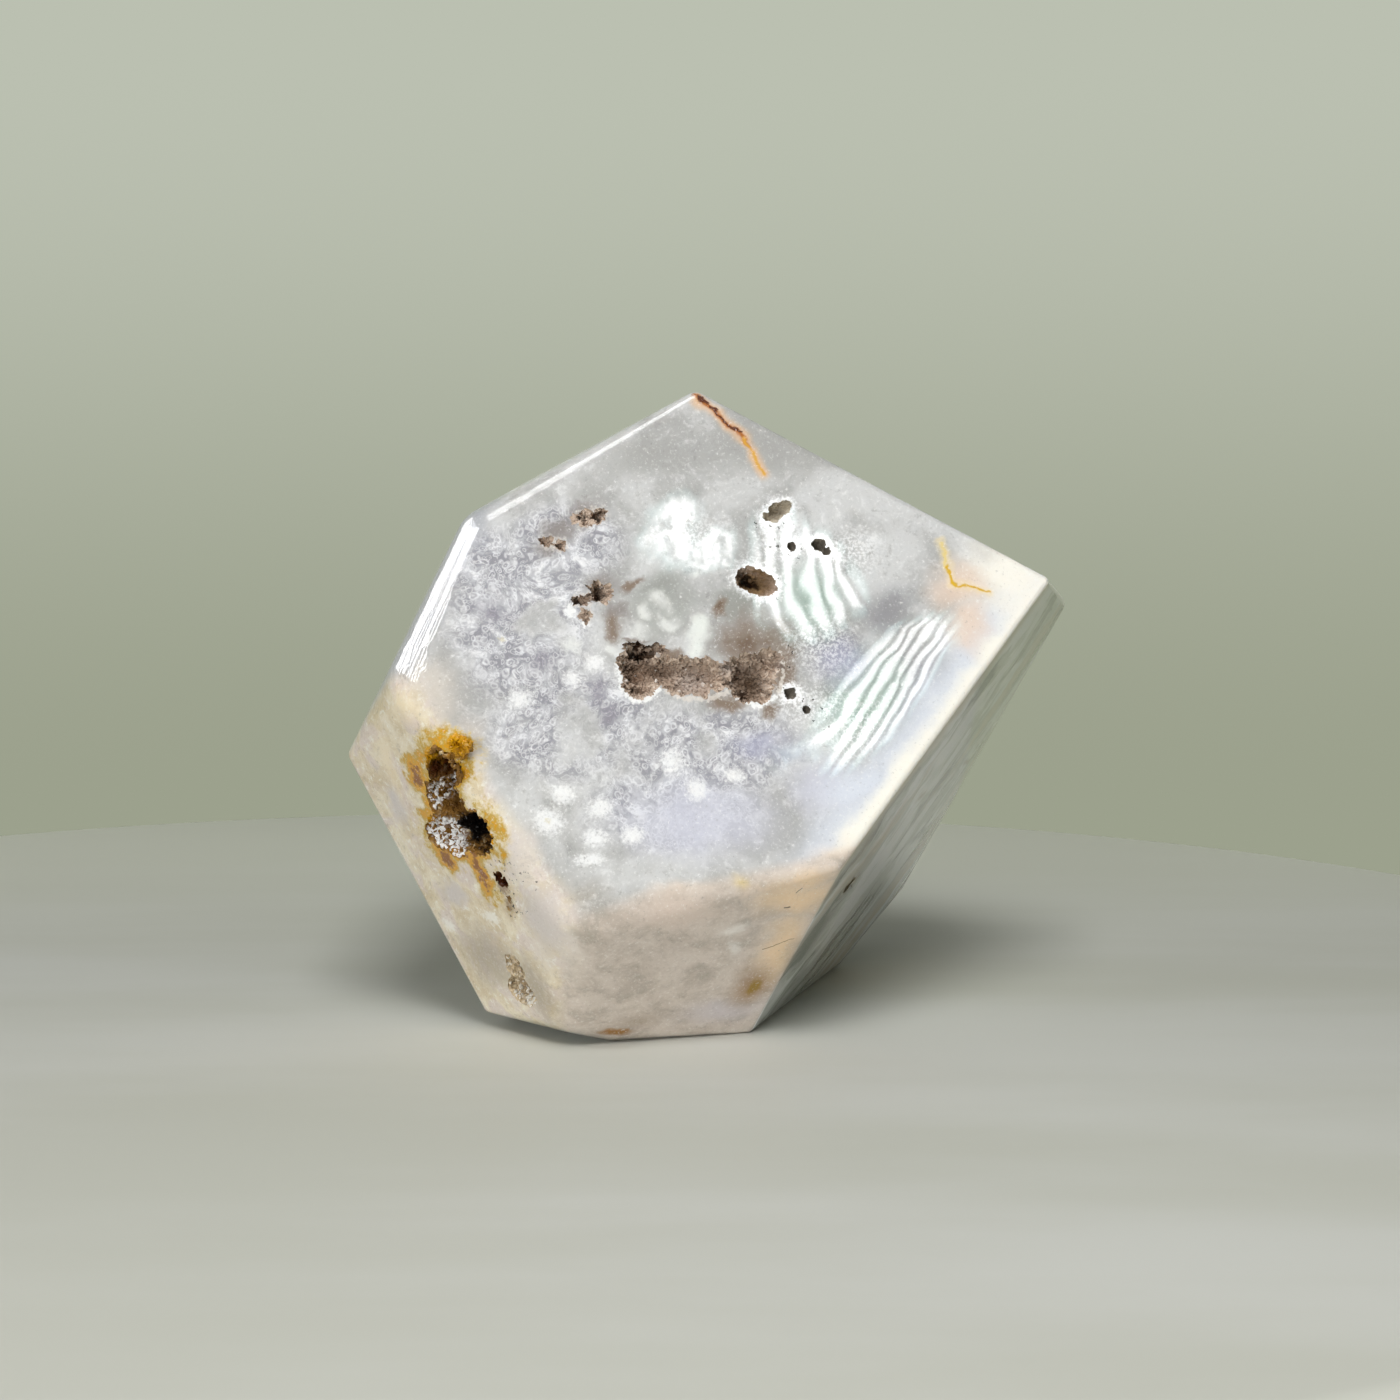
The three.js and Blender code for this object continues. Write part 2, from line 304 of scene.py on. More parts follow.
CENTRAL_VUG = Hollow(
    Facet.WINDOW,
    lobes((-11.9, -2.3, 2.2, 2.4, 3.4), (-12, -3.9, 1.7, 1.6, 2.8), (-11.4, -0.3, 2.3, 0.9, 5),
          (-9.4, -2.5, 2.2, 1.7, 3), (-6.5, -3.3, 3.7, 2.2, 2.8), (-0.9, -3.1, 2.9, 2.2, 3),
          (1, -2, 2.4, 1.4, 2), (-0.5, -4.8, 2, 1.6, 3.2)),
    lumps=lobes((-10.9, 1.9, 1.9, 1.6, 2), (-6.2, 0.6, 1.5, 1.9, 2.4, 20), (-3.1, -2.1, 1.1, 1, 1.3, 0, 2)),
    roughness=0.7,
)
SMOKY_POCKET = Hollow(
    Facet.WINDOW, lobes((-15.8, 5.6, 1.3, 1.2, 3), (-17.6, 4.9, 1.2, 0.8, 2), (-17.2, 3.4, 0.6, 0.7, 1)),
    roughness=0.8)
UPPER_POCKET = Hollow(
    Facet.WINDOW, lobes((-17.2, 13.7, 1.3, 0.8, 1.5), (-15.8, 14.1, 1.2, 0.9, 1.7)), roughness=0.75)
EYE_VUG = Hollow(Facet.WINDOW, lobes((0.4, 6.9, 2.1, 1.3, 3, -15), (1.3, 6.4, 1.4, 1.1, 2.4)))
IRON_VUG = Hollow(
    Facet.LOWER_LEFT,
    lobes((10.6, 15.8, 1.5, 1.2, 1.3), (6.2, 13.1, 2.6, 2.2, 4.4), (5, 9.4, 3.3, 2.9, 3.8),
          (8.3, 6.2, 2.8, 2.6, 4.8), (2.9, 5.2, 3.8, 2.5, 2.6)),
    roughness=0.6)
FOOT_POCKET = Hollow(Facet.LOWER_LEFT, lobes((6.6, -10, 1.5, 1.7, 1.8), (6.1, -12.9, 2.2, 1.9, 2.2)))

# Bare pits with no crystals. The first five are the round ones on the window.
PITS = (
    Hollow(Facet.WINDOW, lobes((3.3, 14.6, 1.5, 0.8, 1.8, 35), (2.4, 13.8, 0.9, 0.6, 1.2)), roughness=0.34),
    Hollow(Facet.WINDOW, lobes((7.3, 10.7, 0.8, 0.6, 1.6, -25), (8.1, 10.1, 0.5, 0.5, 1)), roughness=0.3),
    Hollow(Facet.WINDOW, lobes((4.4, 10.6, 0.45, 0.5, 0.9)), roughness=0.22),
    Hollow(Facet.WINDOW, lobes((3.5, -5.2, 0.65, 0.6, 1)), roughness=0.3),
    Hollow(Facet.WINDOW, lobes((5.1, -6.9, 0.4, 0.45, 0.8)), roughness=0.22),
    Hollow(Facet.WINDOW, lobes((-20.9, 11.1, 0.8, 0.5, 1), (-19.8, 10.9, 0.7, 0.5, 1)), roughness=0.6),
    Hollow(Facet.LOWER_LEFT, lobes((9.6, 1.3, 0.6, 0.6, 0.8), (10.4, 0.5, 0.6, 0.5, 0.7)), roughness=0.6),
    Hollow(Facet.LOWER_LEFT, lobes((10.4, -1.4, 0.5, 0.6, 0.6), (9.8, -2.4, 0.5, 0.5, 0.5)), roughness=0.5),
    Hollow(Facet.RIGHT, lobes((-17.2, -3.5, 2.4, 1.3, 0.7, 0, 0.2)), roughness=0.45),
)
ROUND_PITS = PITS[:5]


@dataclass(frozen=True)
class Patch:
    """An egg-shaped spot of colour on a facet, with a depth that it reaches into the stone."""

    facet: Facet
    at: Pair
    size: Pair
    turn: float = 0.0
    depth: float = 3.0

    def distance(self, paint: Painter, place: Socket) -> Socket:
        """Measures how far a point is from the patch's middle, one at its edge.

        Args:
            paint: What draws it.
            place: The point, in millimetres.

        Returns:
            The distance.
        """
        flat = paint.on_facet(place, self.facet)
        size = Vector((*self.size, self.depth))
        if self.turn:
            local = paint.add("Mapping", {
                "Vector": flat, "Location": (*self.at, 0.0), "Rotation": (0.0, 0.0, math.radians(self.turn)),
                "Scale": size,
            }, vector_type="TEXTURE")
        else:
            shift = (-self.at[0] / size.x, -self.at[1] / size.y, 0.0)
            local = paint.add("VectorMath", {0: flat, 1: [1 / side for side in size], 2: shift},
                              operation="MULTIPLY_ADD")
        return paint.add("VectorMath", {0: local}, operation="LENGTH").outputs["Value"]


@dataclass(frozen=True)
class Stretch(Patch):
    """One straight stretch of a vein, which starts at the patch's place and runs at its turn.

    Its size is the stretch's length and half width.
    """

    def distance(self, paint: Painter, place: Socket) -> Socket:
        """Measures how far a point is from the stretch's line, one at its edge.

        Args:
            paint: What draws it.
            place: The point, in millimetres.

        Returns:
            The distance.
        """
        length, width = self.size
        local = paint.add("Mapping", {
            "Vector": paint.on_facet(place, self.facet), "Location": (*self.at, 0.0),
            "Rotation": (0.0, 0.0, math.radians(self.turn)), "Scale": (width, width, self.depth),
        }, vector_type="TEXTURE")
        short = paint.add("VectorMath", {0: local, 1: (length / width, 0.0, 0.0)}, operation="MINIMUM")
        foot = paint.add("VectorMath", {0: short, 1: (0.0, 0.0, 0.0)}, operation="MAXIMUM")
        return paint.add("VectorMath", {0: local, 1: foot}, operation="DISTANCE").outputs["Value"]


def spots(facet: Facet, *places: tuple[float, ...], depth: float = 3.0) -> tuple[Patch, ...]:
    """Gives a patch for each place on a facet.

    Args:
        facet: The facet.
        places: Across, up, half width and half height, and the turn of one that is turned.
        depth: How deep they reach.

    Returns:
        The patches.
    """
    return tuple(Patch(facet, (across, up), (width, height), *turn, depth=depth)
                 for across, up, width, height, *turn in places)


def slab(facet: Facet, depth: float, up: float = 0) -> tuple[Patch, ...]:
    """Gives one patch that covers a whole facet, down to a depth."""
    return spots(facet, (0, up, 500, 500), depth=depth)


def vein(facet: Facet, points: Sequence[Pair], width: float, depth: float = 1.5) -> tuple[Patch, ...]:
    """Lays straight stretches end to end along a line.

    Args:
        facet: The facet that the vein shows on.
        points: The line's points on the facet.
        width: The vein's half width in millimetres.
        depth: How deep it reaches.

    Returns:
        One stretch from each point to the next.
    """
    stretches = []
    for (a0, b0), (a1, b1) in zip(points, points[1:]):
        turn = math.degrees(math.atan2(b1 - b0, a1 - a0))
        stretches.append(Stretch(facet, (a0, b0), (math.hypot(a1 - a0, b1 - b0), width), turn, depth))
    return tuple(stretches)


def around(hollow: Hollow, growth: float, depth: float) -> tuple[Patch, ...]:
    """Gives patches that stand out round a hollow's lobes.

    Args:
        hollow: The hollow.
        growth: How far they stand out, in millimetres.
        depth: How deep they reach.

    Returns:
        One patch for each lobe.
    """
    return tuple(Patch(hollow.facet, lobe.at, (lobe.size[0] + growth, lobe.size[1] + growth),
                       lobe.turn, depth)
                 for lobe in hollow.lobes)


class Edge(Enum):
    """How a colour's edge runs: in slow waves, in natural tatters, or frayed crystal by crystal."""

    SOFT = "soft"
    RAGGED = "ragged"
    CRISP = "crisp"


@dataclass(frozen=True)
class Wash:
    """A colour laid over the stone in soft or ragged patches."""

    colour: str
    patches: tuple[Patch, ...]
    strength: float = 1.0
    softness: float = 0.7
    edge: Edge = Edge.SOFT

    def cover(self, paint: Painter, place: Socket) -> Socket:
        """Says how strongly the wash covers a point.

        Args:
            paint: What draws it.
            place: The point, in millimetres.

        Returns:
            Nought outside the patches, up to the strength inside them.
        """
        nearest = self.patches[0].distance(paint, place)
        for patch in self.patches[1:]:
            nearest = paint.add("Math", {0: nearest, 1: patch.distance(paint, place)}, operation="MINIMUM")
        return paint.add("MapRange", {
            "Value": nearest, "From Min": 1.0, "From Max": 1.0 - self.softness, "To Min": 0.0,
            "To Max": self.strength,
        }, interpolation_type="SMOOTHSTEP").outputs[0]


def select_only(piece: Piece) -> None:
    """Selects one object and makes it the active one."""
    bpy.ops.object.select_all(action="DESELECT")
    piece.select_set(True)
    bpy.context.view_layer.objects.active = piece


def combine(piece: Piece, tool: Piece, operation: str) -> None:
    """Joins one solid to another, or cuts it away, and removes the tool.

    Args:
        piece: The solid that is changed.
        tool: The solid that is joined or cut away.
        operation: UNION or DIFFERENCE.
    """
    select_only(piece)
    bpy.ops.object.modifier_add(type="BOOLEAN")
    modifier = piece.modifiers[-1]
    modifier.solver = "MANIFOLD"
    modifier.material_mode = "TRANSFER"
    modifier.operation = operation
    modifier.object = tool
    bpy.ops.object.modifier_apply(modifier=modifier.name)
    bpy.data.objects.remove(tool)


def vertex_places(mesh: bpy.types.Mesh) -> np.ndarray:
    """Reads a mesh's vertices as rows of x, y and z."""
    places = np.empty(len(mesh.vertices) * 3)
    mesh.vertices.foreach_get("co", places)
    return places.reshape(-1, 3)


def move_vertices(mesh: bpy.types.Mesh, places: np.ndarray) -> None:
    """Puts a mesh's vertices at new places."""
    mesh.vertices.foreach_set("co", places.ravel())
    mesh.update()


@dataclass(frozen=True)
class Corner:
    """A corner of the stone, where three facets meet in a ball that polishing wore."""

    facets: tuple[Facet, ...]
    radius: float

    def meeting_point(self, depth: float) -> Vector:
        """Finds where the three facets meet once each is moved in, measured from the centre."""
        planes = Matrix([facet.out for facet in self.facets])
        return planes.inverted() @ Vector([facet.reach - depth for facet in self.facets])

    def ball_centre(self) -> Vector:
        """Finds the middle of the ball that touches the three facets."""
        return CENTRE + self.meeting_point(self.radius)

    def patch(self, steps: int) -> list[Vector]:
        """Spreads points over the part of the ball that lies between the facets.

        Args:
            steps: How many stretches the arc between two facets has.

        Returns:
            The points, in millimetres.
        """
        first, second, third = (facet.out for facet in self.facets)
        middle = self.ball_centre()
        points = []
        for i in range(steps + 1):
            for j in range(steps + 1 - i):
                out = first * i + second * j + third * (steps - i - j)
                points.append(middle + out.normalized() * self.radius)
        return points


@dataclass
class AgateBody:
    """The polished stone with its hollows cut. Its sizes are in millimetres."""

    polish: bpy.types.Material | None = None
    node: str = "agate_body"
    corner_radius: float = 1.5
    arc_steps: int = 8
    slice_width: float = 2.0
    slice_shift: float = 0.13
    flatness: float = 2e-3
    dome_run: float = 9.0
    rim_easing: float = 0.4
    polish_wave: float = 0.025
    wave_length: float = 11.0
    smooth_angle: float = 32.0
    worn_corners: tuple[tuple[Facet, Facet, Facet, float], ...] = (
        (Facet.WINDOW, Facet.LOWER_LEFT, Facet.LOWER_FRONT, 6),
        (Facet.WINDOW, Facet.LOWER_LEFT, Facet.LEFT, 6),
        (Facet.WINDOW, Facet.TOP_LEFT, Facet.LEFT, 4.5),
        (Facet.WINDOW, Facet.TOP_LEFT, Facet.TOP_RIGHT, 1.6),
        (Facet.LOWER_LEFT, Facet.LOWER_FRONT, Facet.FOOT, 5),
        (Facet.LOWER_FRONT, Facet.FOOT, Facet.BASE, 4),
        (Facet.LOWER_LEFT, Facet.LEFT, Facet.LEFT_UNDER, 1.2),
        (Facet.LOWER_LEFT, Facet.LEFT_UNDER, Facet.FOOT, 1),
        (Facet.WINDOW, Facet.RIGHT, Facet.TOP_RIGHT, 0.7),
        (Facet.WINDOW, Facet.RIGHT, Facet.LOWER_FRONT, 0.9),
        (Facet.LOWER_FRONT, Facet.RIGHT, Facet.BASE, 1),
    )

    def corners(self) -> list[Corner]:
        """Finds every corner of the stone.

        Returns:
            The corners, each with the radius it is worn to.
        """
        facets = list(Facet)
        found = []
        for i, first in enumerate(facets):
            for j, second in enumerate(facets[i + 1:], i + 1):
                for third in facets[j + 1:]:
                    trio = (first, second, third)
                    if abs(Matrix([facet.out for facet in trio]).determinant()) < LEAST_SPAN:
                        continue
                    point = Corner(trio, 0.0).meeting_point(0.0)
                    if all(point.dot(facet.out) <= facet.reach + TOUCHING for facet in facets):
                        worn = [entry[3] for entry in self.worn_corners if set(entry[:3]) == set(trio)]
                        found.append(Corner(trio, worn[0] if worn else self.corner_radius))
        return found

    def rounded_blank(self, corners: list[Corner]) -> Piece:
        """Stretches a skin over the corner balls, as polishing leaves the stone.

        Args:
            corners: The stone's corners.

        Returns:
            The solid, in millimetres.
        """
        mesh = bpy.data.meshes.new(self.node + "_polished")
        mesh.from_pydata([point for corner in corners for point in corner.patch(self.arc_steps)], [], [])
        blank = bpy.data.objects.new("polished_agate_stone", mesh)
        bpy.context.collection.objects.link(blank)
        select_only(blank)
        bpy.ops.object.mode_set(mode="EDIT")
        bpy.ops.mesh.select_all(action="SELECT")
        bpy.ops.mesh.remove_doubles(threshold=TOUCHING)
        bpy.ops.mesh.convex_hull()
        bpy.ops.mesh.select_all(action="SELECT")
        bpy.ops.mesh.dissolve_limited(angle_limit=math.radians(0.2))
        bpy.ops.object.mode_set(mode="OBJECT")
        return blank

    def slice_faces(self, blank: Piece) -> None:
        """Slices every face finely enough to take a gentle dome."""
        low = np.floor(vertex_places(blank.data).min(axis=0) / self.slice_width).astype(int)
        high = np.ceil(vertex_places(blank.data).max(axis=0) / self.slice_width).astype(int)
        select_only(blank)
        bpy.ops.object.mode_set(mode="EDIT")
        for axis in range(3):
            normal = Vector([float(axis == k) for k in range(3)])
            for step in range(low[axis] + 1, high[axis]):
                bpy.ops.mesh.select_all(action="SELECT")
                bpy.ops.mesh.bisect(plane_co=normal * (step * self.slice_width + self.slice_shift),
                                    plane_no=normal, threshold=TOUCHING)
        bpy.ops.object.mode_set(mode="OBJECT")

    def dome_facets(self, blank: Piece, corners: list[Corner]) -> None:
        """Raises each facet's middle a little and gives it the faint waves of hand polishing."""
        places = vertex_places(blank.data)
        for facet in Facet:
            if not facet.dome:
                continue
            out = np.array(facet.out)
            flat = np.abs((places - np.array(CENTRE)) @ out - facet.reach) < self.flatness
            rim = [corner.ball_centre() + facet.out * corner.radius
                   for corner in corners if facet in corner.facets]
            inset = self.rim_distance(facet, rim, places[flat])
            share = 1 - np.exp(-np.maximum(inset, 0) / self.dome_run)
            wave = np.array([noise.noise(Vector(place) / self.wave_length) for place in places[flat]])
            rise = facet.dome * share / max(share.max(), 1e-6) + self.polish_wave * wave * share
            places[flat] += rise[:, None] * out
        move_vertices(blank.data, places)

    def rim_distance(self, facet: Facet, rim: list[Vector], places: np.ndarray) -> np.ndarray:
        """Measures how far points on a facet are from its rim, with the corners eased.

        Args:
            facet: The facet.
            rim: The rim's corners, in any order.
            places: The points.

        Returns:
            One distance for each point.
        """
        inverse = facet.matrix.inverted()
        flat_rim = np.array([(inverse @ point).to_2d() for point in rim])
        flat_rim = flat_rim[np.argsort(np.arctan2(*(flat_rim - flat_rim.mean(axis=0)).T[::-1]))]
        flat = (places - np.array(facet.matrix.translation)) @ np.array(facet.matrix.to_3x3())[:, :2]
        total = np.zeros(len(places))
        for start, end in zip(flat_rim, np.roll(flat_rim, -1, axis=0)):
            along = (end - start) / max(np.linalg.norm(end - start), 1e-6)
            total += np.exp(-self.rim_easing * ((flat - start) @ np.array([-along[1], along[0]])))
        return -np.log(total) / self.rim_easing

    def build(self, cutters: list[Piece]) -> Piece:
        """Makes the stone and cuts its hollows.

        Args:
            cutters: The solids to cut away. They are used up.

        Returns:
            The stone, in metres.
        """
        corners = self.corners()
        stone = self.rounded_blank(corners)
        self.slice_faces(stone)
        self.dome_facets(stone, corners)
        stone.data.materials.append(self.polish)
        for cutter in cutters:
            combine(stone, cutter, "DIFFERENCE")
        stone.data.transform(Matrix.Scale(MM, 4))
        select_only(stone)
        bpy.ops.object.shade_smooth_by_angle(angle=math.radians(self.smooth_angle))
        return stone


@dataclass(frozen=True)
class HollowCutter:
    """Makes the solid that a hollow is cut with."""

    hollow: Hollow
    name: str
    evenness: float = 30.0

    @staticmethod
    def fineness(half_width: float) -> int:
        """Says how finely a lobe's ball is split."""
        return 5 if half_width > 1.2 else 4 if half_width > 0.55 else 3

    def lobe(self, lobe: Lobe) -> Piece:
        """Makes one uneven lobe with the rough wall that quartz leaves.

        Args:
            lobe: The lobe's place and size.

        Returns:
            The solid, in millimetres.
        """
        bpy.ops.object.select_all(action="DESELECT")
        bpy.ops.mesh.primitive_ico_sphere_add(subdivisions=self.fineness(max(lobe.size[:2])), radius=1)
        ball = bpy.context.object
        phase = lobe.at[0] + 2 * lobe.at[1]
        x, y, z = vertex_places(ball.data).T
        swell = (np.sin(3.1 * x + 2 * phase) + np.sin(3.7 * y + 3 * phase)
                 + np.sin(2.9 * z + x + phase)) / self.evenness
        places = np.stack((x, y, z), axis=1) * np.array(lobe.size) * (1 + swell)[:, None]
        turn = np.array(lobe.matrix(self.hollow.facet).to_3x3())
        places = places @ turn.T + np.array(lobe.matrix(self.hollow.facet).translation)
        out = np.stack((x, y, z), axis=1) @ turn.T
        rough = np.array([self.ruggedness(Vector(place)) for place in places])
        move_vertices(ball.data, places + out * rough[:, None])
        return ball

    def ruggedness(self, place: Vector) -> float:
        """Gives how far the wall stands out at a place."""
        coarse = noise.noise(place * 0.9)
        fine = noise.noise(place * 2.4 + Vector((5.0, 3.0, 1.0)))
        gritty = noise.noise(place * 5.5)
        return self.hollow.roughness * (0.8 * coarse + 0.6 * fine + 0.55 * gritty)

    def build(self) -> Piece:
        """Joins the lobes and cuts away the lumps that stay standing.

        Returns:
            The solid, in millimetres.
        """
        solid, *others = [self.lobe(lobe) for lobe in self.hollow.lobes]
        for other in others:
            combine(solid, other, "UNION")
        for lump in self.hollow.lumps:
            combine(solid, self.lobe(lump), "DIFFERENCE")
        solid.name = self.name
        return solid


@dataclass(frozen=True)
class QuartzPoint:
    """One six-sided quartz crystal, with a radius and a length of one, that every druse is a crowd of."""

    shoulder: float = 0.5

    def build(self) -> tuple[np.ndarray, list[tuple[int, ...]]]:
        """Models the crystal once.

        Returns:
            Its vertices and its faces.
        """
        bpy.ops.object.select_all(action="DESELECT")
        bpy.ops.mesh.primitive_cylinder_add(vertices=6, radius=1, depth=self.shoulder,
                                            location=(0, 0, self.shoulder / 2))
        crystal = bpy.context.object
        bpy.ops.object.mode_set(mode="EDIT")
        bpy.ops.mesh.select_all(action="DESELECT")
        bpy.ops.object.mode_set(mode="OBJECT")
        for face in crystal.data.polygons:
            face.select = face.normal.z > 0.9
        bpy.ops.object.mode_set(mode="EDIT")
        bpy.ops.mesh.extrude_region_move(TRANSFORM_OT_translate={"value": (0, 0, 1 - self.shoulder)})
        bpy.ops.mesh.merge(type="CENTER")
        bpy.ops.object.mode_set(mode="OBJECT")
        crystal.data.transform(crystal.matrix_world)
        places = vertex_places(crystal.data)
        faces = [tuple(face.vertices) for face in crystal.data.polygons]
        bpy.data.objects.remove(crystal)
        return places, faces


@dataclass(frozen=True)
class Druse:
    """A crust of small quartz points that lines one hollow.

    girth is a point's radius in millimetres, from the commonest to the widest, and stretch its length over
    that. root, rim_gap and sink keep the points in the wall and under the polished face.
    """

    node: str
    slot: str
    hollow: Hollow
    points: int
    girth: Pair
    stretch: Pair = (1.6, 3.0)
    lean: float = 0.45
    lift: float = 0.15
    root: float = 0.7
    shortest: float = 0.8
    rim_gap: float = 0.12
    sink: float = 0.06
    seed: int = SEED

    def wall_points(self, cutter: Piece) -> tuple[np.ndarray, np.ndarray]:
        """Picks places spread over the hollow's wall, under the polished face.

        Args:
            cutter: The solid that the hollow is cut with, in millimetres.

        Returns:
            The places and the directions into the hollow.
        """
        rng = np.random.default_rng(self.seed)
        mesh = cutter.data
        mesh.calc_loop_triangles()
        trios = np.empty(len(mesh.loop_triangles) * 3, dtype=int)
        mesh.loop_triangles.foreach_get("vertices", trios)
        corners = vertex_places(mesh)[trios.reshape(-1, 3)]
        cross = np.cross(corners[:, 1] - corners[:, 0], corners[:, 2] - corners[:, 0])
        area = np.linalg.norm(cross, axis=1)
        facet = self.hollow.facet
        height = (corners.mean(axis=1) - np.array(CENTRE)) @ np.array(facet.out) - facet.reach
        weight = np.where(height < -self.rim_gap, area, 0)
        picked = rng.choice(len(area), size=self.points, p=weight / weight.sum())
        shares = rng.dirichlet((1, 1, 1), size=self.points)
        places = (corners[picked] * shares[:, :, None]).sum(axis=1)
        return places, -cross[picked] / area[picked][:, None]

    def build(self, cutter: Piece, crystal: tuple[np.ndarray, list[tuple[int, ...]]]) -> Piece:
        """Plants the crystals on the wall.

        Args:
            cutter: The solid that the hollow is cut with, in millimetres.
            crystal: The one crystal's vertices and faces.

        Returns:
            The crust, in metres.
        """
        rng = np.random.default_rng(self.seed + 1)
        out = np.array(self.hollow.facet.out)
        reach = self.hollow.facet.reach
        vertices, faces, solid = [], [], crystal[0]
        for place, inward in zip(*self.wall_points(cutter)):
            axis = inward + rng.normal(scale=self.lean, size=3) + self.lift * out
            axis /= np.linalg.norm(axis)
            girth = rng.triangular(self.girth[0], self.girth[0], self.girth[1])
            length = girth * rng.uniform(*self.stretch)
            foot = place - axis * girth * self.root
            height = (foot - np.array(CENTRE)) @ out - reach
            rise = axis @ out
            if rise > 0:
                length = min(length, (-self.sink - height) / rise)
            if length < girth * self.shortest:
                continue
            side = np.cross(axis, rng.normal(size=3))
            side /= np.linalg.norm(side)
            axes = np.stack((side * girth, np.cross(axis, side) * girth, axis * length))
            faces += [tuple(index + len(vertices) for index in face) for face in crystal[1]]
            vertices += list(foot + solid @ axes)
        mesh = bpy.data.meshes.new(self.node + "_points")
        mesh.from_pydata([tuple(vertex * MM) for vertex in vertices], [], faces)
        shade = mesh.attributes.new("shade", "FLOAT", "POINT")
        shade.data.foreach_set("value", np.repeat(rng.random(len(vertices) // len(solid)), len(solid)))
        piece = bpy.data.objects.new(self.node + "_crystals", mesh)
        bpy.context.collection.objects.link(piece)
        return piece


class Finish(Painter):
    """A mineral surface: a material whose colour and bump come from nodes."""

    title: str

    def start(self) -> Socket:
        """Opens an empty material and gives the place of each point in millimetres."""
        self.made = bpy.data.materials.new(self.title)
        self.open(self.made)
        place = self.add("TexCoord").outputs["Object"]
        return self.add("Mapping", {"Vector": place, "Scale": (1 / MM, 1 / MM, 1 / MM)}).outputs[0]

    def close(self, shader: dict[int | str, Any]) -> bpy.types.Material:
        """Adds the surface shader, with its sockets, and gives the finished material."""
        self.add("OutputMaterial", {"Surface": self.add("BsdfPrincipled", shader)})
        return self.made

    def cloud_over(self, place: Socket, colour: Socket | str, mottles: Sequence[Mottle]) -> Socket:
        """Lays mottles over a colour, one after another."""
        for mottle in mottles:
            colour = mottle.lay(self, place, colour)
        return colour


# The grey-lilac ground with its clouds and wisps.
CLOUDS = (Mottle(0.17, 5.0, 0.5, (("CACAC9", 0.36, 0.62, 1.0),)),
          Mottle(0.62, 6.0, 0.68, (("E2E2E1", 0.52, 0.72, 0.7), ("908F8D", 0.44, 0.28, 0.6))))
# Grey and white clumps under the orb foam.
CLUMPS = (Mottle(0.5, 5.0, 0.65, (("BCBCC0", 0.4, 0.56, 1.0), ("E8E8E9", 0.55, 0.66, 0.85))),)
# Thin layers, whose scales are in sheets and not in millimetres.
STREAKS = (Mottle(1.0, 5.0, 0.55, (("FFFFFD", 0.47, 0.55, 1.0), ("5B5C4E", 0.46, 0.38, 0.85))),
           Mottle(0.6, 4.0, 0.5, (("BFA678", 0.52, 0.64, 0.7),), sort=3.0))
# The cream and beige skin of the lower left.
CREAM_SKIN = (Mottle(0.24, 5.0, 0.6, (("EFE3CA", 0.38, 0.6, 1.0),)),
              Mottle(0.3, 4.0, 0.5, (("E2D3CB", 0.48, 0.62, 0.85),), sort=1.0),
              Mottle(1.1, 8.0, 0.8, (("FDFAF0", 0.52, 0.64, 0.85), ("A89A82", 0.46, 0.34, 0.6))))
# The grey-beige lower front: slanting clouds, whose scale is in clouds, under a fine grain.
FRONT_CLOUDS = (Mottle(1.0, 8.0, 0.62, (("D6CABF", 0.4, 0.6, 1.0), ("A69F92", 0.48, 0.34, 0.5))),)
FRONT_GRAIN = (Mottle(1.4, 4.0, 0.75, (("EFE9E0", 0.54, 0.7, 0.35), ("958B7C", 0.44, 0.3, 0.25))),)
# Faint drifts in the table's stone.
TABLE_DRIFTS = (Mottle(1.0, 5.0, 0.5, (("D1D2CB", 0.35, 0.65, 1.0),)),)

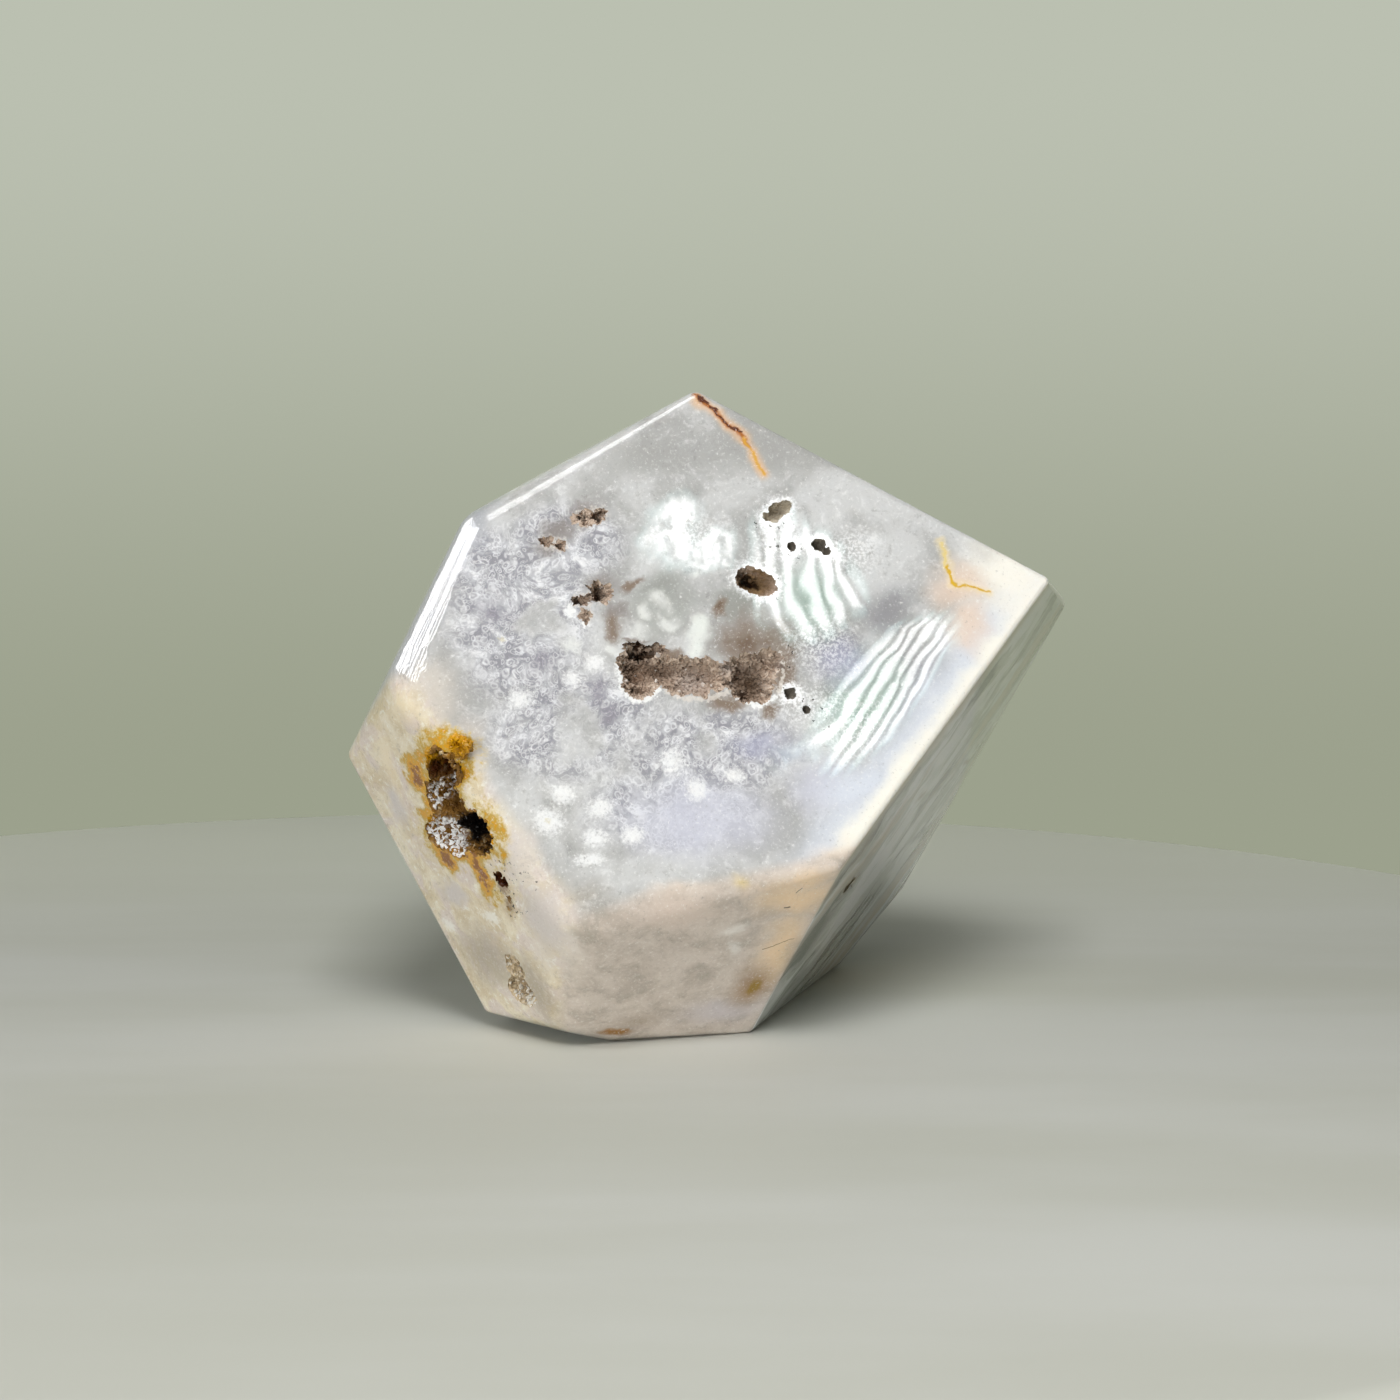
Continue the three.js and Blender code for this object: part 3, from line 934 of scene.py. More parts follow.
# Colours laid over the stone's own greys, from the widest to the smallest.
WINDOW_WASHES = (
    # grey chalcedony under the top edge, and the smoky cloud right of the vug
    Wash("A4A3A0", spots(Facet.WINDOW, (2.6, 20.7, 13, 5), (-11.1, 20.1, 9, 5)), 0.8, 0.9),
    Wash("8C8B8F", spots(Facet.WINDOW, (14.4, 3.6, 7, 5, 40), (9, -1, 6, 5), (16, -4, 6, 9, -30)), 0.8,
         1.0),
    Wash("93A69B", spots(Facet.WINDOW, (6, 4.6, 6, 7), (11, -6, 10, 6, 50)), 0.8, 0.9),
    Wash("A9AAC0", spots(Facet.WINDOW, (9, -2, 5.5, 4), (1, -11, 7, 3)), 0.7, 1.0),
    # the lilac-white lower middle
    Wash("C9CAD6", spots(Facet.WINDOW, (-6.4, -18.1, 14, 7), (7.2, -15.2, 8, 5.5)), 0.75, 0.9),
    # painted glow: the right edge and its corner painted from lilac to cream white, as light shining through
    # the thin edge, with a lilac-white patch low on the window
    Wash("D6DBE4", slab(Facet.RIGHT, 8, 8) + spots(Facet.WINDOW, (10, -15, 7, 4, 30)), 0.85, 0.9),
    Wash("F6F2E6", slab(Facet.RIGHT, 3.2, 8), 0.9, 0.9),
    Wash("F3EFE4", spots(Facet.WINDOW, (27, 7.5, 8, 8)), 0.85, 0.9),
    Wash("E4CCB8", spots(Facet.WINDOW, (22, 6, 5, 5), (23, 2, 3.4, 5)), 0.7, 0.9),
    Wash("A3A5AC", slab(Facet.LEFT, 4.5), 0.8, 0.9),
    # cream towards the left
    Wash("D2CAC0", spots(Facet.WINDOW, (-34, -5.4, 6, 8), (-30, -12, 4, 8)), 0.8, 0.9),
    Wash("B3A899", spots(Facet.WINDOW, (-26, -22, 5, 8), (-20.7, -26, 8, 4.5)), 0.75, 0.95),
    Wash("E6CDB4", spots(Facet.WINDOW, (9, -22.5, 9, 3.5, 14), (-6, -26, 10, 2.5)), 0.7, 1.0),
)
SKIN_WASHES = (
    # peach along the lower crease and down the right of the lower front
    Wash("F4D6AE", spots(Facet.WINDOW, (3.5, -25.6, 10, 3, 8)) + spots(Facet.LOWER_FRONT, (-3, 7.6, 8, 5),
         (-3, 0, 5, 10)), 0.8, 1.0),
    Wash("DCCABC", spots(Facet.WINDOW, (-8, -27.4, 9, 3)) + spots(Facet.LOWER_FRONT, (-16, 6, 9, 4)), 0.7,
         0.95),
    Wash("CFC8CC", spots(Facet.LOWER_FRONT, (-7.5, -9.6, 9, 4), (-1, -7, 3, 5)), 0.7, 1.0),
    Wash("F4F0EA", spots(Facet.LOWER_FRONT, (-9.2, 3.4, 3.6, 1.4, 25), (-8.4, 0.6, 1.2, 3, 20),
         (-26, 2, 1.4, 4, 20)), 0.6, 1.0, Edge.RAGGED),
    # greyer towards the foot of the lower left, and pinkish white above it
    Wash("ADA08E", spots(Facet.LOWER_LEFT, (3, -9.4, 11, 7), (9.4, -12, 5, 8)), 0.75, 0.95, Edge.RAGGED),
    Wash("D8CFCA", spots(Facet.LOWER_LEFT, (10.6, 22, 11, 5.5), (-5, 8, 3, 5), (14.6, 8, 5.6, 14),
         (16, -3, 6, 10, -25), (0.4, -2, 5, 3)), 0.9, 0.95, Edge.RAGGED),
    Wash("EAE0D2", spots(Facet.LOWER_LEFT, (12.6, -7, 2.4, 6, 12)) + spots(Facet.LOWER_FRONT,
         (-26.4, 0, 2.6, 8, 14)), 0.6, 0.9, Edge.RAGGED),
    Wash("F6E6C6", spots(Facet.LOWER_LEFT, (-3.6, 13, 3.4, 8), (2, 20, 5, 4)), 0.6, 0.9),
    Wash("FBF8F0", spots(Facet.LOWER_LEFT, (-8.6, 0, 2, 5), (-3.4, -6.4, 2.4, 1.6), (5.8, -4, 3, 1.6)), 0.8,
         0.95, Edge.CRISP),
    # the side pocket sits in a beige stain, and the far corner is painted pale as light glowing through the
    # thin edge
    Wash("A08A66", spots(Facet.RIGHT, (-17.2, -3.5, 4, 2), (1, 8, 3, 1.2), (-7, 6.4, 4, 1.4),
         (14, 8.6, 7, 1)), 0.65, 0.95, Edge.RAGGED),
    Wash("F2F1EA", spots(Facet.RIGHT, (24, 2, 6, 12)), 0.6, 1.0),
    Wash("4E5145", spots(Facet.RIGHT, (12, -2, 9, 2.2), (-19, -10, 8, 8)), 0.75, 0.95),
)
SMOKE_WASHES = (
    # smoke round the pockets
    Wash("8C8581", spots(Facet.WINDOW, (-17, 14.1, 4, 2.8, 20), (-20.7, 10.8, 3, 2, 25),
         (-15.9, 6.4, 3.6, 3), (-13.8, 3.4, 2.6, 2.2), (-19.7, 12.3, 4, 2.4, 30)), 0.8, 0.9, Edge.RAGGED),
    Wash("8A8691", spots(Facet.WINDOW, (-15, -7.2, 2, 1.9), (-16.7, -4.6, 2.4, 3.6), (-22, -2, 2.6, 1.6),
         (-27, 3.6, 3, 2)), 0.6, 0.9),
    # grey milk over and between the vugs
    Wash("999A95", spots(Facet.WINDOW, (-9, 4.9, 5.4, 4.6), (-1.5, 4.4, 5, 2.6), (2.7, 0.8, 2.2, 3.2)), 0.9,
         0.8),
    Wash("AFB0AC", spots(Facet.WINDOW, (-9.6, 3.4, 4.6, 3.4)), 0.7, 0.8, Edge.RAGGED),
    Wash("857466", spots(Facet.WINDOW, (-0.1, -0.2, 6.6, 5.6), (3, -2.6, 2.8, 6), (1.4, -7.4, 1.8, 1.8),
         (-3.4, 3.9, 1.8, 1.6), (-2.8, -6, 3, 1.8), (-8.8, -0.8, 3, 1.3), (-14.4, 1.8, 1.6, 2.2),
         (-12.4, 6.6, 2, 1.2, 30)), 0.95, 0.85, Edge.RAGGED),
    # dark brown: a bead and a haze over the right bowl, and painted shadow under the milk lumps
    Wash("6B5646", spots(Facet.WINDOW, (-3.5, 4, 0.8, 0.7), (-0.4, 0.2, 3.6, 2), (-7.4, -1.3, 2.2, 0.6),
         (-12, 0.9, 2.6, 0.5)), 0.75, 0.95, Edge.RAGGED),
)
MILK_WASHES = (
    Wash("E3E4E0", spots(Facet.WINDOW, (-9.3, 4.5, 1.7, 1.5), (-11.7, 1.8, 2.1, 1.4), (-10.9, 3.3, 1.2, 1),
         (-5.9, 0.7, 1.7, 2.3), (-8.8, 2.6, 1.6, 1.2), (-14.4, -0.4, 1.4, 1.2), (-19, -0.3, 1.9, 1.5),
         (-5.6, 7.6, 1.2, 0.8), (-5.9, 1.4, 1.9, 2.6)), 0.7, 0.9, Edge.RAGGED),
    Wash("E2E5DF", spots(Facet.WINDOW, (-5.7, 1.4, 2.3, 2.4), (-5.7, -0.4, 1.3, 2)), 0.8, 0.8, Edge.RAGGED),
    # snow flakes in the lower middle
    Wash("F1F1F0", spots(Facet.WINDOW, (-21.7, -18, 3.2, 2.8), (-20.2, -15.3, 2.6, 2.2),
         (-16.4, -16.7, 2.5, 2), (-17, -19.8, 2.6, 1.8), (-8.9, -12.1, 2.6, 2.2), (-6.6, -15, 2.2, 2.4),
         (-13.2, -19.6, 2.6, 1.8), (-2.6, -13.6, 2.2, 1.7), (-17.6, -22, 3, 1.3), (-24.2, -5.5, 2.6, 2.2),
         (-16.5, -1.8, 2, 1.8), (-18.9, -3.4, 1.8, 1.6)), 0.8, 1.0, Edge.CRISP),
    Wash("B9A95C", spots(Facet.WINDOW, (-21.7, -18, 0.7, 0.6), (-25.9, 0.8, 0.8, 0.7)), 0.55, 0.9,
         Edge.CRISP),
)
# Sugary quartz shows as a white line where the polish cut through a crust, and as frost round small holes.
RIM_WASHES = (
    Wash("FBFBFB", around(EYE_VUG, 2, 2) + sum((around(pit, 1.5, 1.5) for pit in PITS[:4]), ()), 0.95, 0.85,
         Edge.CRISP),
    Wash("F3F3F1", spots(Facet.WINDOW, (-18.9, 3.8, 1.2, 1.8), (-17.4, 2.4, 1.2, 0.8)) + vein(Facet.WINDOW,
         ((-14.1, -2), (-13.8, -4.4), (-12.6, -5.7), (-11.2, -5.5), (-10.2, -4.6)), 0.75, 2.2)
         + vein(Facet.WINDOW, ((-1.9, -5.6), (0.2, -6.5), (1.8, -5.6)), 0.5, 2.2), 0.9, 1.0, Edge.CRISP),
    Wash("DAD3CA", vein(Facet.WINDOW, ((-9.2, -4.8), (-7.4, -5.6), (-5, -5.6), (-3, -5)), 0.55, 2)
         + vein(Facet.WINDOW, ((2.3, -5), (2.9, -3), (2.6, -1)), 0.35, 2) + around(UPPER_POCKET, 0.8, 1.5)
         + around(SMOKY_POCKET, 0.7, 1.5) + around(PITS[5], 0.9, 1.5) + around(FOOT_POCKET, 0.6, 1.5), 0.75,
         0.8, Edge.CRISP),
)
FOAM_AREA = Wash("FFFFFF", spots(Facet.WINDOW, (-24, 2.9, 10, 13), (-19, -8, 13, 8), (-27.9, 9.3, 6, 6),
                                 (-5, -11, 13, 6.5), (-19, 11, 8, 6), (-9, -17, 13, 6)), 0.95, 0.6)
# Painted glitter: white speckle painted round the glint bands.
PAINTED_GLITTER = Wash("FFFFFF", spots(Facet.WINDOW, (3.4, 11, 6, 5), (5.6, -6.4, 8, 5), (7, 0, 7, 7), (-6, 12, 7, 4),
     (11, 10, 5, 5), (10, -9, 7, 5, 45)), 0.5, 1.0)
# Painted shade: tiny pits that are not cut, drawn as dark dots.
PINHOLE_SHADE = Wash("000000", spots(Facet.WINDOW, (2.2, 12.6, 2.8, 3), (4.4, 9.8, 3, 2), (5.4, -7.4, 3, 3),
     (3.4, -2.6, 1.2, 4), (2.8, 5.6, 1.4, 1.8)) + spots(Facet.LOWER_LEFT, (11.4, 0, 5, 5)), 1.0, 0.4)
IRON_STAIN = Wash("D39A0C", around(IRON_VUG, 3.6, 4) + spots(Facet.LOWER_LEFT, (13.4, 18.4, 3, 2.4),
     (7, 15.6, 4.4, 2.6), (1.4, 12.4, 3.4, 3), (0.4, 7.4, 2.4, 2), (1.4, 2.4, 3.6, 2.6),
     (7, 0.8, 3, 4.6, 20)), 0.95, 0.95)
# From pale halo to rust, and how much iron each takes.
IRON_SHADES = (("DCC78A", 1.6, 1.95, 0.75), ("BE9608", 1.8, 2.1, 0.85), ("DA9E00", 2.0, 2.3, 0.95),
               ("7A3C00", 2.36, 2.65, 0.85))
IRON_WASHES = (
    Wash("6A4420", spots(Facet.LOWER_LEFT, (10, 0.2, 1.7, 2), (10, -2, 1.2, 1.6)), 0.75, 0.9, Edge.CRISP),
    Wash("B99C6E", spots(Facet.LOWER_LEFT, (10, -2.6, 2, 2.4)), 0.6, 1.0, Edge.RAGGED),
    # veins
    Wash("DCB68E", vein(Facet.WINDOW, ((-4.8, 26.9), (-2.2, 25.3), (-0.2, 22.4), (0.5, 20.2), (1.7, 18.6)),
         1.5), 0.8, 1.0),
    Wash("A8601A", vein(Facet.WINDOW, ((-5.4, 27.4), (-4, 26.6), (-2.2, 25.2), (-0.6, 23), (0.2, 21.2)),
         0.55), 0.95, 1.0),
    Wash("5A2408", vein(Facet.WINDOW, ((-4.6, 26.9), (-3.2, 26.2)), 0.4) + vein( Facet.WINDOW, ((-3, 25.7),
         (-1.4, 24.4), (-0.4, 22.9)), 0.28), 0.95, 0.8, Edge.RAGGED),
    Wash("D6A23A", vein(Facet.WINDOW, ((-0.2, 22), (0.7, 20), (1.8, 18.4)), 0.45), 0.85, 1.0),
    Wash("EED8A0", vein(Facet.WINDOW, ((20.3, 10.9), (20.9, 8.1), (21.3, 6.5), (22.9, 5.8), (24.7, 5.3)),
         0.9), 0.55, 1.0),
    Wash("E2CB7C", vein(Facet.WINDOW, ((20.4, 10.4), (20.7, 8.3)), 0.3), 0.7, 1.0),
    Wash("D3A806", vein(Facet.WINDOW, ((20.8, 8.3), (21.2, 6.8), (21.9, 6.1), (22.9, 5.8), (24.7, 5.3)),
         0.25), 0.95, 0.9),
    # the lower front's yellow spot in its brown halo, and amber at its foot
    Wash("9C7648", spots(Facet.LOWER_FRONT, (-5.2, -5.6, 4.6, 5.6)), 0.7, 1.0),
    Wash("977500", spots(Facet.LOWER_FRONT, (-4.9, -5.4, 1, 2.1, 5)), 0.95, 0.9),
    Wash("8F7A5F", spots(Facet.LOWER_FRONT, (-17, -10, 5.4, 2.6)), 0.5, 1.0),
    Wash("9A681A", spots(Facet.LOWER_FRONT, (-19.1, -12.2, 2.4, 1.3)), 0.9, 0.9),
    Wash("D9C27C", spots(Facet.LOWER_FRONT, (-10.1, 9.4, 1.9, 1.5)), 0.6, 1.0),
    Wash("7E5A2C", vein(Facet.LOWER_FRONT, ((-5.2, -0.1), (-3.4, 0.4), (-1.8, 1.1)), 0.14), 0.85, 0.8),
    Wash("3C2C1C", vein(Facet.LOWER_FRONT, ((-4.5, 6.2), (-3.9, 6.5)), 0.16) + vein(Facet.LOWER_FRONT,
         ((-3.3, 8.4), (-3.1, 9)), 0.12), 0.85, 0.8),
)


@dataclass
class PolishedChalcedony(Finish):
    """Agate cut and polished: grey-lilac chalcedony with orb foam, milk clouds, cream skin and iron.

    Smooth polish over a fibrous quartz: a glassy highlight that breaks into fine grains, and light that goes
    in a little way before it comes back. Widths, heights and depths are in millimetres.
    """

    title: str = "polished_chalcedony"
    ior: float = 1.54
    gloss: float = 0.02
    haze: float = 0.32
    orb_width: float = 1.0
    orb_edge: float = 0.36
    sheet: Triple = (18.0, 18.0, 5.5)
    grain_width: float = 0.17
    grain_height: float = 0.00016
    sugar_height: float = 0.006
    swell_width: float = 5.0
    swell_height: float = 0.012
    glow_depth: float = 1.2

    def foam(self, place: Socket, colour: Socket) -> Socket:
        """Lays white orb foam over the left of the window.

        Args:
            place: The place in millimetres.
            colour: The colour below.

        Returns:
            The colour.
        """
        curl = self.bend(place, 0.9, 0.35, 2.0)
        foam = self.cloud_over(place, "939299", CLUMPS)
        for width in (self.orb_width, self.orb_width * 0.6):
            orbs = self.add("TexVoronoi", {"Vector": curl, "Scale": 1 / width}).outputs
            chance = self.add("SeparateColor", {0: orbs["Color"]})
            ring = self.add("Math", {0: orbs["Distance"], 1: self.orb_edge}, operation="SUBTRACT")
            ring = self.add("Math", {0: ring}, operation="ABSOLUTE")
            ring = self.add("Math", {0: chance, 1: -0.08, 2: ring}, operation="MULTIPLY_ADD")
            foam = self.blend(foam, "9F9EA4", orbs["Distance"], 0.3, 0.16, 0.35)
            foam = self.blend(foam, "EFEFF0", ring, 0.1, -0.06, 0.5)
            foam = self.blend(foam, "F4F4F4", orbs["Distance"], 0.15, 0.03, 0.45)
        glade = self.add("TexNoise", {"Vector": place, "Scale": 0.16, "Detail": 3.0, "W": 2.0},
                         noise_dimensions="4D")
        foam = self.blend(foam, colour, glade, 0.52, 0.66, 0.85)
        return self.blend(colour, foam, FOAM_AREA.cover(self, place))

    def layers(self, place: Socket) -> Socket:
        """Paints the layers that lie level with the window and show as streaks down the sides.

        Args:
            place: The place in millimetres.

        Returns:
            The colour.
        """
        window = Facet.WINDOW.matrix
        level = self.add("Mapping", {
            "Vector": self.bend(place, 0.14, 7.0, 2.0), "Location": window.to_translation(),
            "Rotation": window.to_euler("XYZ"), "Scale": self.sheet,
        }, vector_type="TEXTURE")
        return self.cloud_over(level.outputs[0], "CBCDC2", STREAKS)

    def grainy_front(self, place: Socket) -> Socket:
        """Paints the grey-beige, grainy lower front.

        Args:
            place: The place in millimetres.

        Returns:
            The colour.
        """
        slant = self.add("Mapping", {
            "Vector": self.on_facet(place, Facet.LOWER_FRONT), "Rotation": (0.0, 0.0, -0.7),
            "Scale": (0.22, 0.3, 0.3),
        })
        return self.cloud_over(place, self.cloud_over(slant.outputs[0], "C3B6AA", FRONT_CLOUDS), FRONT_GRAIN)

    def lay(self, colour: Socket, washes: Sequence[Wash], places: dict[Edge, Socket], grit: Source) -> Socket:
        """Lays washes over the colour.

        Args:
            colour: The colour below.
            washes: The washes.
            places: The bent place that each kind of edge is drawn at.
            grit: The fine noise that crisp edges fray by.

        Returns:
            The colour.
        """
        for wash in washes:
            cover = wash.cover(self, places[wash.edge])
            if wash.edge is Edge.CRISP:
                frayed = self.add("Math", {0: grit, 1: cover}, operation="ADD")
                colour = self.blend(colour, wash.colour, frayed, 0.66, 1.3, wash.strength)
            else:
                colour = self.blend(colour, wash.colour, cover)
        return colour

    def stain(self, colour: Socket, place: Socket) -> Socket:
        """Lets iron creep out of the lower left vug, amber to rust in uneven tongues.

        Args:
            colour: The colour below.
            place: The place in millimetres.

        Returns:
            The colour.
        """
        tongues = self.add("TexNoise", {"Vector": place, "Scale": 0.42, "Detail": 8.0, "Roughness": 0.7})
        cover = IRON_STAIN.cover(self, place)
        iron = self.add("Math", {0: tongues, 1: 3.2, 2: cover}, operation="MULTIPLY_ADD")
        stained = colour
        for shade, low, high, most in IRON_SHADES:
            stained = self.blend(stained, shade, iron, low, high, most)
        return self.blend(colour, stained, cover, 0.0, 0.2)

    def colour(self, place: Socket) -> Socket:
        """Builds the whole colour, from the ground up.

        Args:
            place: The place in millimetres.

        Returns:
            The colour.
        """
        soft = self.bend(place, 0.2, 4.0)
        ragged = self.bend(soft, 1.1, 1.3, 6.0)
        crisp = self.bend(place, 2.4, 1.0, 3.0)
        places = {Edge.SOFT: soft, Edge.RAGGED: ragged, Edge.CRISP: crisp}
        clouds = self.cloud_over(soft, "A9A8A6", CLOUDS)
        window = self.foam(soft, clouds)
        sides = self.layers(soft)
        near = Wash("FFFFFF", slab(Facet.WINDOW, 2.2), 1.0, 0.6)
        colour = self.blend(self.blend(sides, clouds, 1.0, most=0.6), window, near.cover(self, place))
        colour = self.lay(colour, WINDOW_WASHES, places, colour)
        for facet, depth, skin in ((Facet.LOWER_LEFT, 2.6, self.cloud_over(soft, "DBC9A6", CREAM_SKIN)),
                                   (Facet.LOWER_FRONT, 2.2, self.grainy_front(soft))):
            face = Wash("FFFFFF", slab(facet, depth), 1.0, 0.9)
            colour = self.blend(colour, skin, face.cover(self, place))
        # painted glow: the right facet paler cream within 5 mm of the window, as light shining through its
        # edge
        rim = Wash("E0D4BC", slab(Facet.WINDOW, 5), 0.8, 0.9)
        right = self.blend(sides, rim.colour, rim.cover(self, soft))
        colour = self.blend(colour, right, self.facing(Facet.RIGHT))
        sugar = self.add("TexNoise", {"Vector": place, "Scale": 3.2, "Detail": 3.0, "Roughness": 0.7})
        colour = self.lay(colour, SKIN_WASHES + SMOKE_WASHES + MILK_WASHES, places, sugar)
        colour = self.stain(colour, place)
        colour = self.lay(colour, IRON_WASHES, places, sugar)
        colour = self.blend(colour, "F7F7F5", sugar, 0.54, 0.78, 0.5)
        colour = self.blend(colour, "6E6B6A", sugar, 0.42, 0.2, 0.45)
        # painted glitter: a white speckle inside its patches
        frost = self.blend(colour, "FFFFFF", sugar, 0.46, 0.56)
        colour = self.blend(colour, frost, PAINTED_GLITTER.cover(self, crisp))
        colour = self.lay(colour, RIM_WASHES, places, sugar)
        # painted shade of the tiny uncut pits, as dark dots
        holes = self.add("TexVoronoi", {"Vector": crisp, "Scale": 1.3}).outputs["Distance"]
        pinhole_shaded = self.blend(colour, "34302B", holes, 0.2, 0.15)
        return self.blend(colour, pinhole_shaded, PINHOLE_SHADE.cover(self, ragged))

    def material(self) -> bpy.types.Material:
        """Builds the polished agate."""
        place = self.start()
        colour = self.colour(place)
        grain = self.add("TexNoise", {"Vector": place, "Scale": 1 / self.grain_width, "Detail": 2.0})
        swell = self.add("TexNoise", {"Vector": place, "Scale": 1 / self.swell_width, "Detail": 1.0})
        waves = self.add("Math", {0: swell, 1: self.swell_height}, operation="MULTIPLY")
        normals = []
        for height in (self.sugar_height, self.grain_height):
            relief = self.add("Math", {0: grain, 1: height, 2: waves}, operation="MULTIPLY_ADD")
            normals.append(self.add("Bump", {"Height": relief, "Distance": MM}))
        return self.close({
            "Base Color": colour, "Roughness": self.haze, "IOR": self.ior, "Specular IOR Level": 0.12,
            "Normal": normals[0], "Coat Weight": 1.0, "Coat Roughness": self.gloss, "Coat IOR": self.ior,
            "Coat Normal": normals[1], "Subsurface Weight": 0.3, "Subsurface Radius": (1.0, 0.9, 0.8),
            "Subsurface Scale": self.glow_depth * MM,
        })


@dataclass
class QuartzDruse(Finish):
    """Sugary quartz points as they grew: small clear faces over a stained or smoky wall, so they glitter.

    Painted shade darkens the wall from its rim down to deep, in mm. bright is the share of points painted
    pale as painted glints.
    """

    title: str
    body: str
    dark: str
    pale: str
    clear: float
    gloss: float = 0.16
    shine: float = 0.3
    ior: float = 1.544
    washes: tuple[Wash, ...] = ()
    needles: Wash | None = None
    seam: float = 0.6
    bright: float = 0.1
    facet: Facet = Facet.WINDOW
    deep: float = 4.5
    mottled: float = 0.8

    def material(self) -> bpy.types.Material:
        """Builds the crust's material."""
        place = self.start()
        mottle = self.add("TexNoise", {"Vector": place, "Scale": self.seam, "Detail": 5.0, "Roughness": 0.7})
        level = self.add("SeparateXYZ", {0: self.on_facet(place, self.facet)}).outputs[2]
        # painted shade: the wall darkens with depth below the facet
        colour = self.blend(self.body, self.dark, level, -0.8, -self.deep)
        colour = self.blend(colour, self.pale, mottle, 0.56, 0.72, 0.75 * self.mottled)
        colour = self.blend(colour, self.dark, mottle, 0.44, 0.3, self.mottled)
        shade = self.add("Attribute", attribute_name="shade").outputs["Fac"]
        # painted glints: a share of the points painted pale
        colour = self.blend(colour, self.pale, shade, 1.0 - self.bright, 1.0 - 0.6 * self.bright, 0.9)
        ragged = self.bend(place, 1.1, 1.6, 6.0)
        for wash in self.washes:
            colour = self.blend(colour, wash.colour, wash.cover(self, ragged))
        # painted glitter: where the needles wash lies, most points take its colour
        if self.needles:
            lit = self.blend(colour, self.needles.colour, shade, 0.25, 0.45)
            colour = self.blend(colour, lit, self.needles.cover(self, ragged))
        frost = self.add("TexNoise", {"Vector": place, "Scale": 6.0, "Detail": 2.0})
        bump = self.add("Bump", {"Height": frost, "Distance": MM * 0.02, "Strength": 0.4})
        return self.close({
            "Base Color": colour, "Roughness": self.gloss, "IOR": self.ior, "Specular IOR Level": self.shine,
            "Normal": bump, "Transmission Weight": self.clear,
        })


SMOKY_QUARTZ = QuartzDruse("smoky_quartz_druse", body="C6B2A0", dark="78614E", pale="EFE8E0", clear=0.04,
    gloss=0.12, shine=0.4, mottled=0.35, bright=0.02, washes=(
    # painted shade: the deep slot at the vug's left painted near black
    Wash("2F1B0D", spots(Facet.WINDOW, (-11.6, 0.8, 2.6, 1), depth=9), 0.95, 0.6),
    Wash("BCAEA4", spots(Facet.WINDOW, (-6.4, -3.4, 3.2, 2.4), (2.9, -3, 1.2, 4), (-2.9, -2.2, 1.3, 1.2),
         depth=9), 0.8, 0.9),
    Wash("967A58", spots(Facet.WINDOW, (0.5, 6.9, 2.6, 2), depth=9), 0.9, 0.6),
    # painted shade: the eye's narrow slit painted near black
    Wash("2A1A0E", spots(Facet.WINDOW, (0.1, 7.3, 1.9, 0.7, -20), depth=9), 0.97, 0.6),
    Wash("453222", spots(Facet.WINDOW, (-0.4, -3.4, 3, 2.6), depth=9), 0.85, 0.9),
    Wash("6A5140", spots(Facet.WINDOW, (-12, -2.6, 1.8, 1.4), depth=9), 0.8, 0.9),
))
IRON_QUARTZ = QuartzDruse("iron_stained_quartz_druse", body="8A6430", dark="4A2A10", pale="C8B48C",
    # needles: white quartz needles, painted pure white as painted glitter
    clear=0.05, bright=0.06, facet=Facet.LOWER_LEFT, shine=0.1, needles=Wash("FFFFFF",
    spots(Facet.LOWER_LEFT, (1.4, 4.6, 3, 3.2), (2.2, 9.6, 1.8, 1.8), (3.6, 2.6, 2.4, 1.6), depth=4)
    + spots(Facet.LOWER_LEFT, (4.6, 10.4, 1.6, 1.2), depth=9), 0.95, 0.5), washes=(
    Wash("D69C10", spots(Facet.LOWER_LEFT, (10.2, 16.4, 4.4, 2.8), (3.6, 14.4, 3, 2.4),
         (1.2, 2.4, 3.4, 1.2), (11, 5, 1.2, 3.4), (0.4, 8, 1.8, 3), depth=9), 0.9, 0.9),
    # the crust's dark brown, deepened by painted shade in the upper hollow and the tail pit
    Wash("42200C", spots(Facet.LOWER_LEFT, (5.4, 12.6, 3, 2.2), (9.8, 0.8, 1.8, 1.8), depth=9), 0.97, 0.7),
    # painted shade: near black over the hollow's right side, where it lies in shade
    Wash("120E0C", spots(Facet.LOWER_LEFT, (6, 5.8, 2.8, 2.2), (8.2, 5.2, 2.2, 2), depth=9), 0.98, 0.5),
    Wash("C0A070", spots(Facet.LOWER_LEFT, (10, -2.2, 1.4, 1.6), depth=9), 0.8, 0.8),
))
CLEAR_QUARTZ = QuartzDruse("clear_quartz_druse", body="DAC6A6", dark="7C6244", pale="FFFDF6", clear=0.15,
    bright=0.3, facet=Facet.LOWER_LEFT, shine=0.5, deep=2.2, washes=(
    Wash("D6C6A4", spots(Facet.RIGHT, (-17.2, -3.5, 4, 3)), 0.9, 0.6),
))
PIT_WALL = QuartzDruse("frosted_pit_wall", body="C4BAA8", dark="857B6B", pale="D6CDBE", clear=0.0,
    gloss=0.5, seam=1.6, deep=2.4, washes=(
    Wash("6B655C", spots(Facet.WINDOW, (7.5, 10.5, 1.8, 1.6), (4.4, 10.6, 1.2, 1.2), (3.5, -5.2, 1.4, 1.4),
         (5.1, -6.9, 1.2, 1.2)), 0.8, 0.5),
))


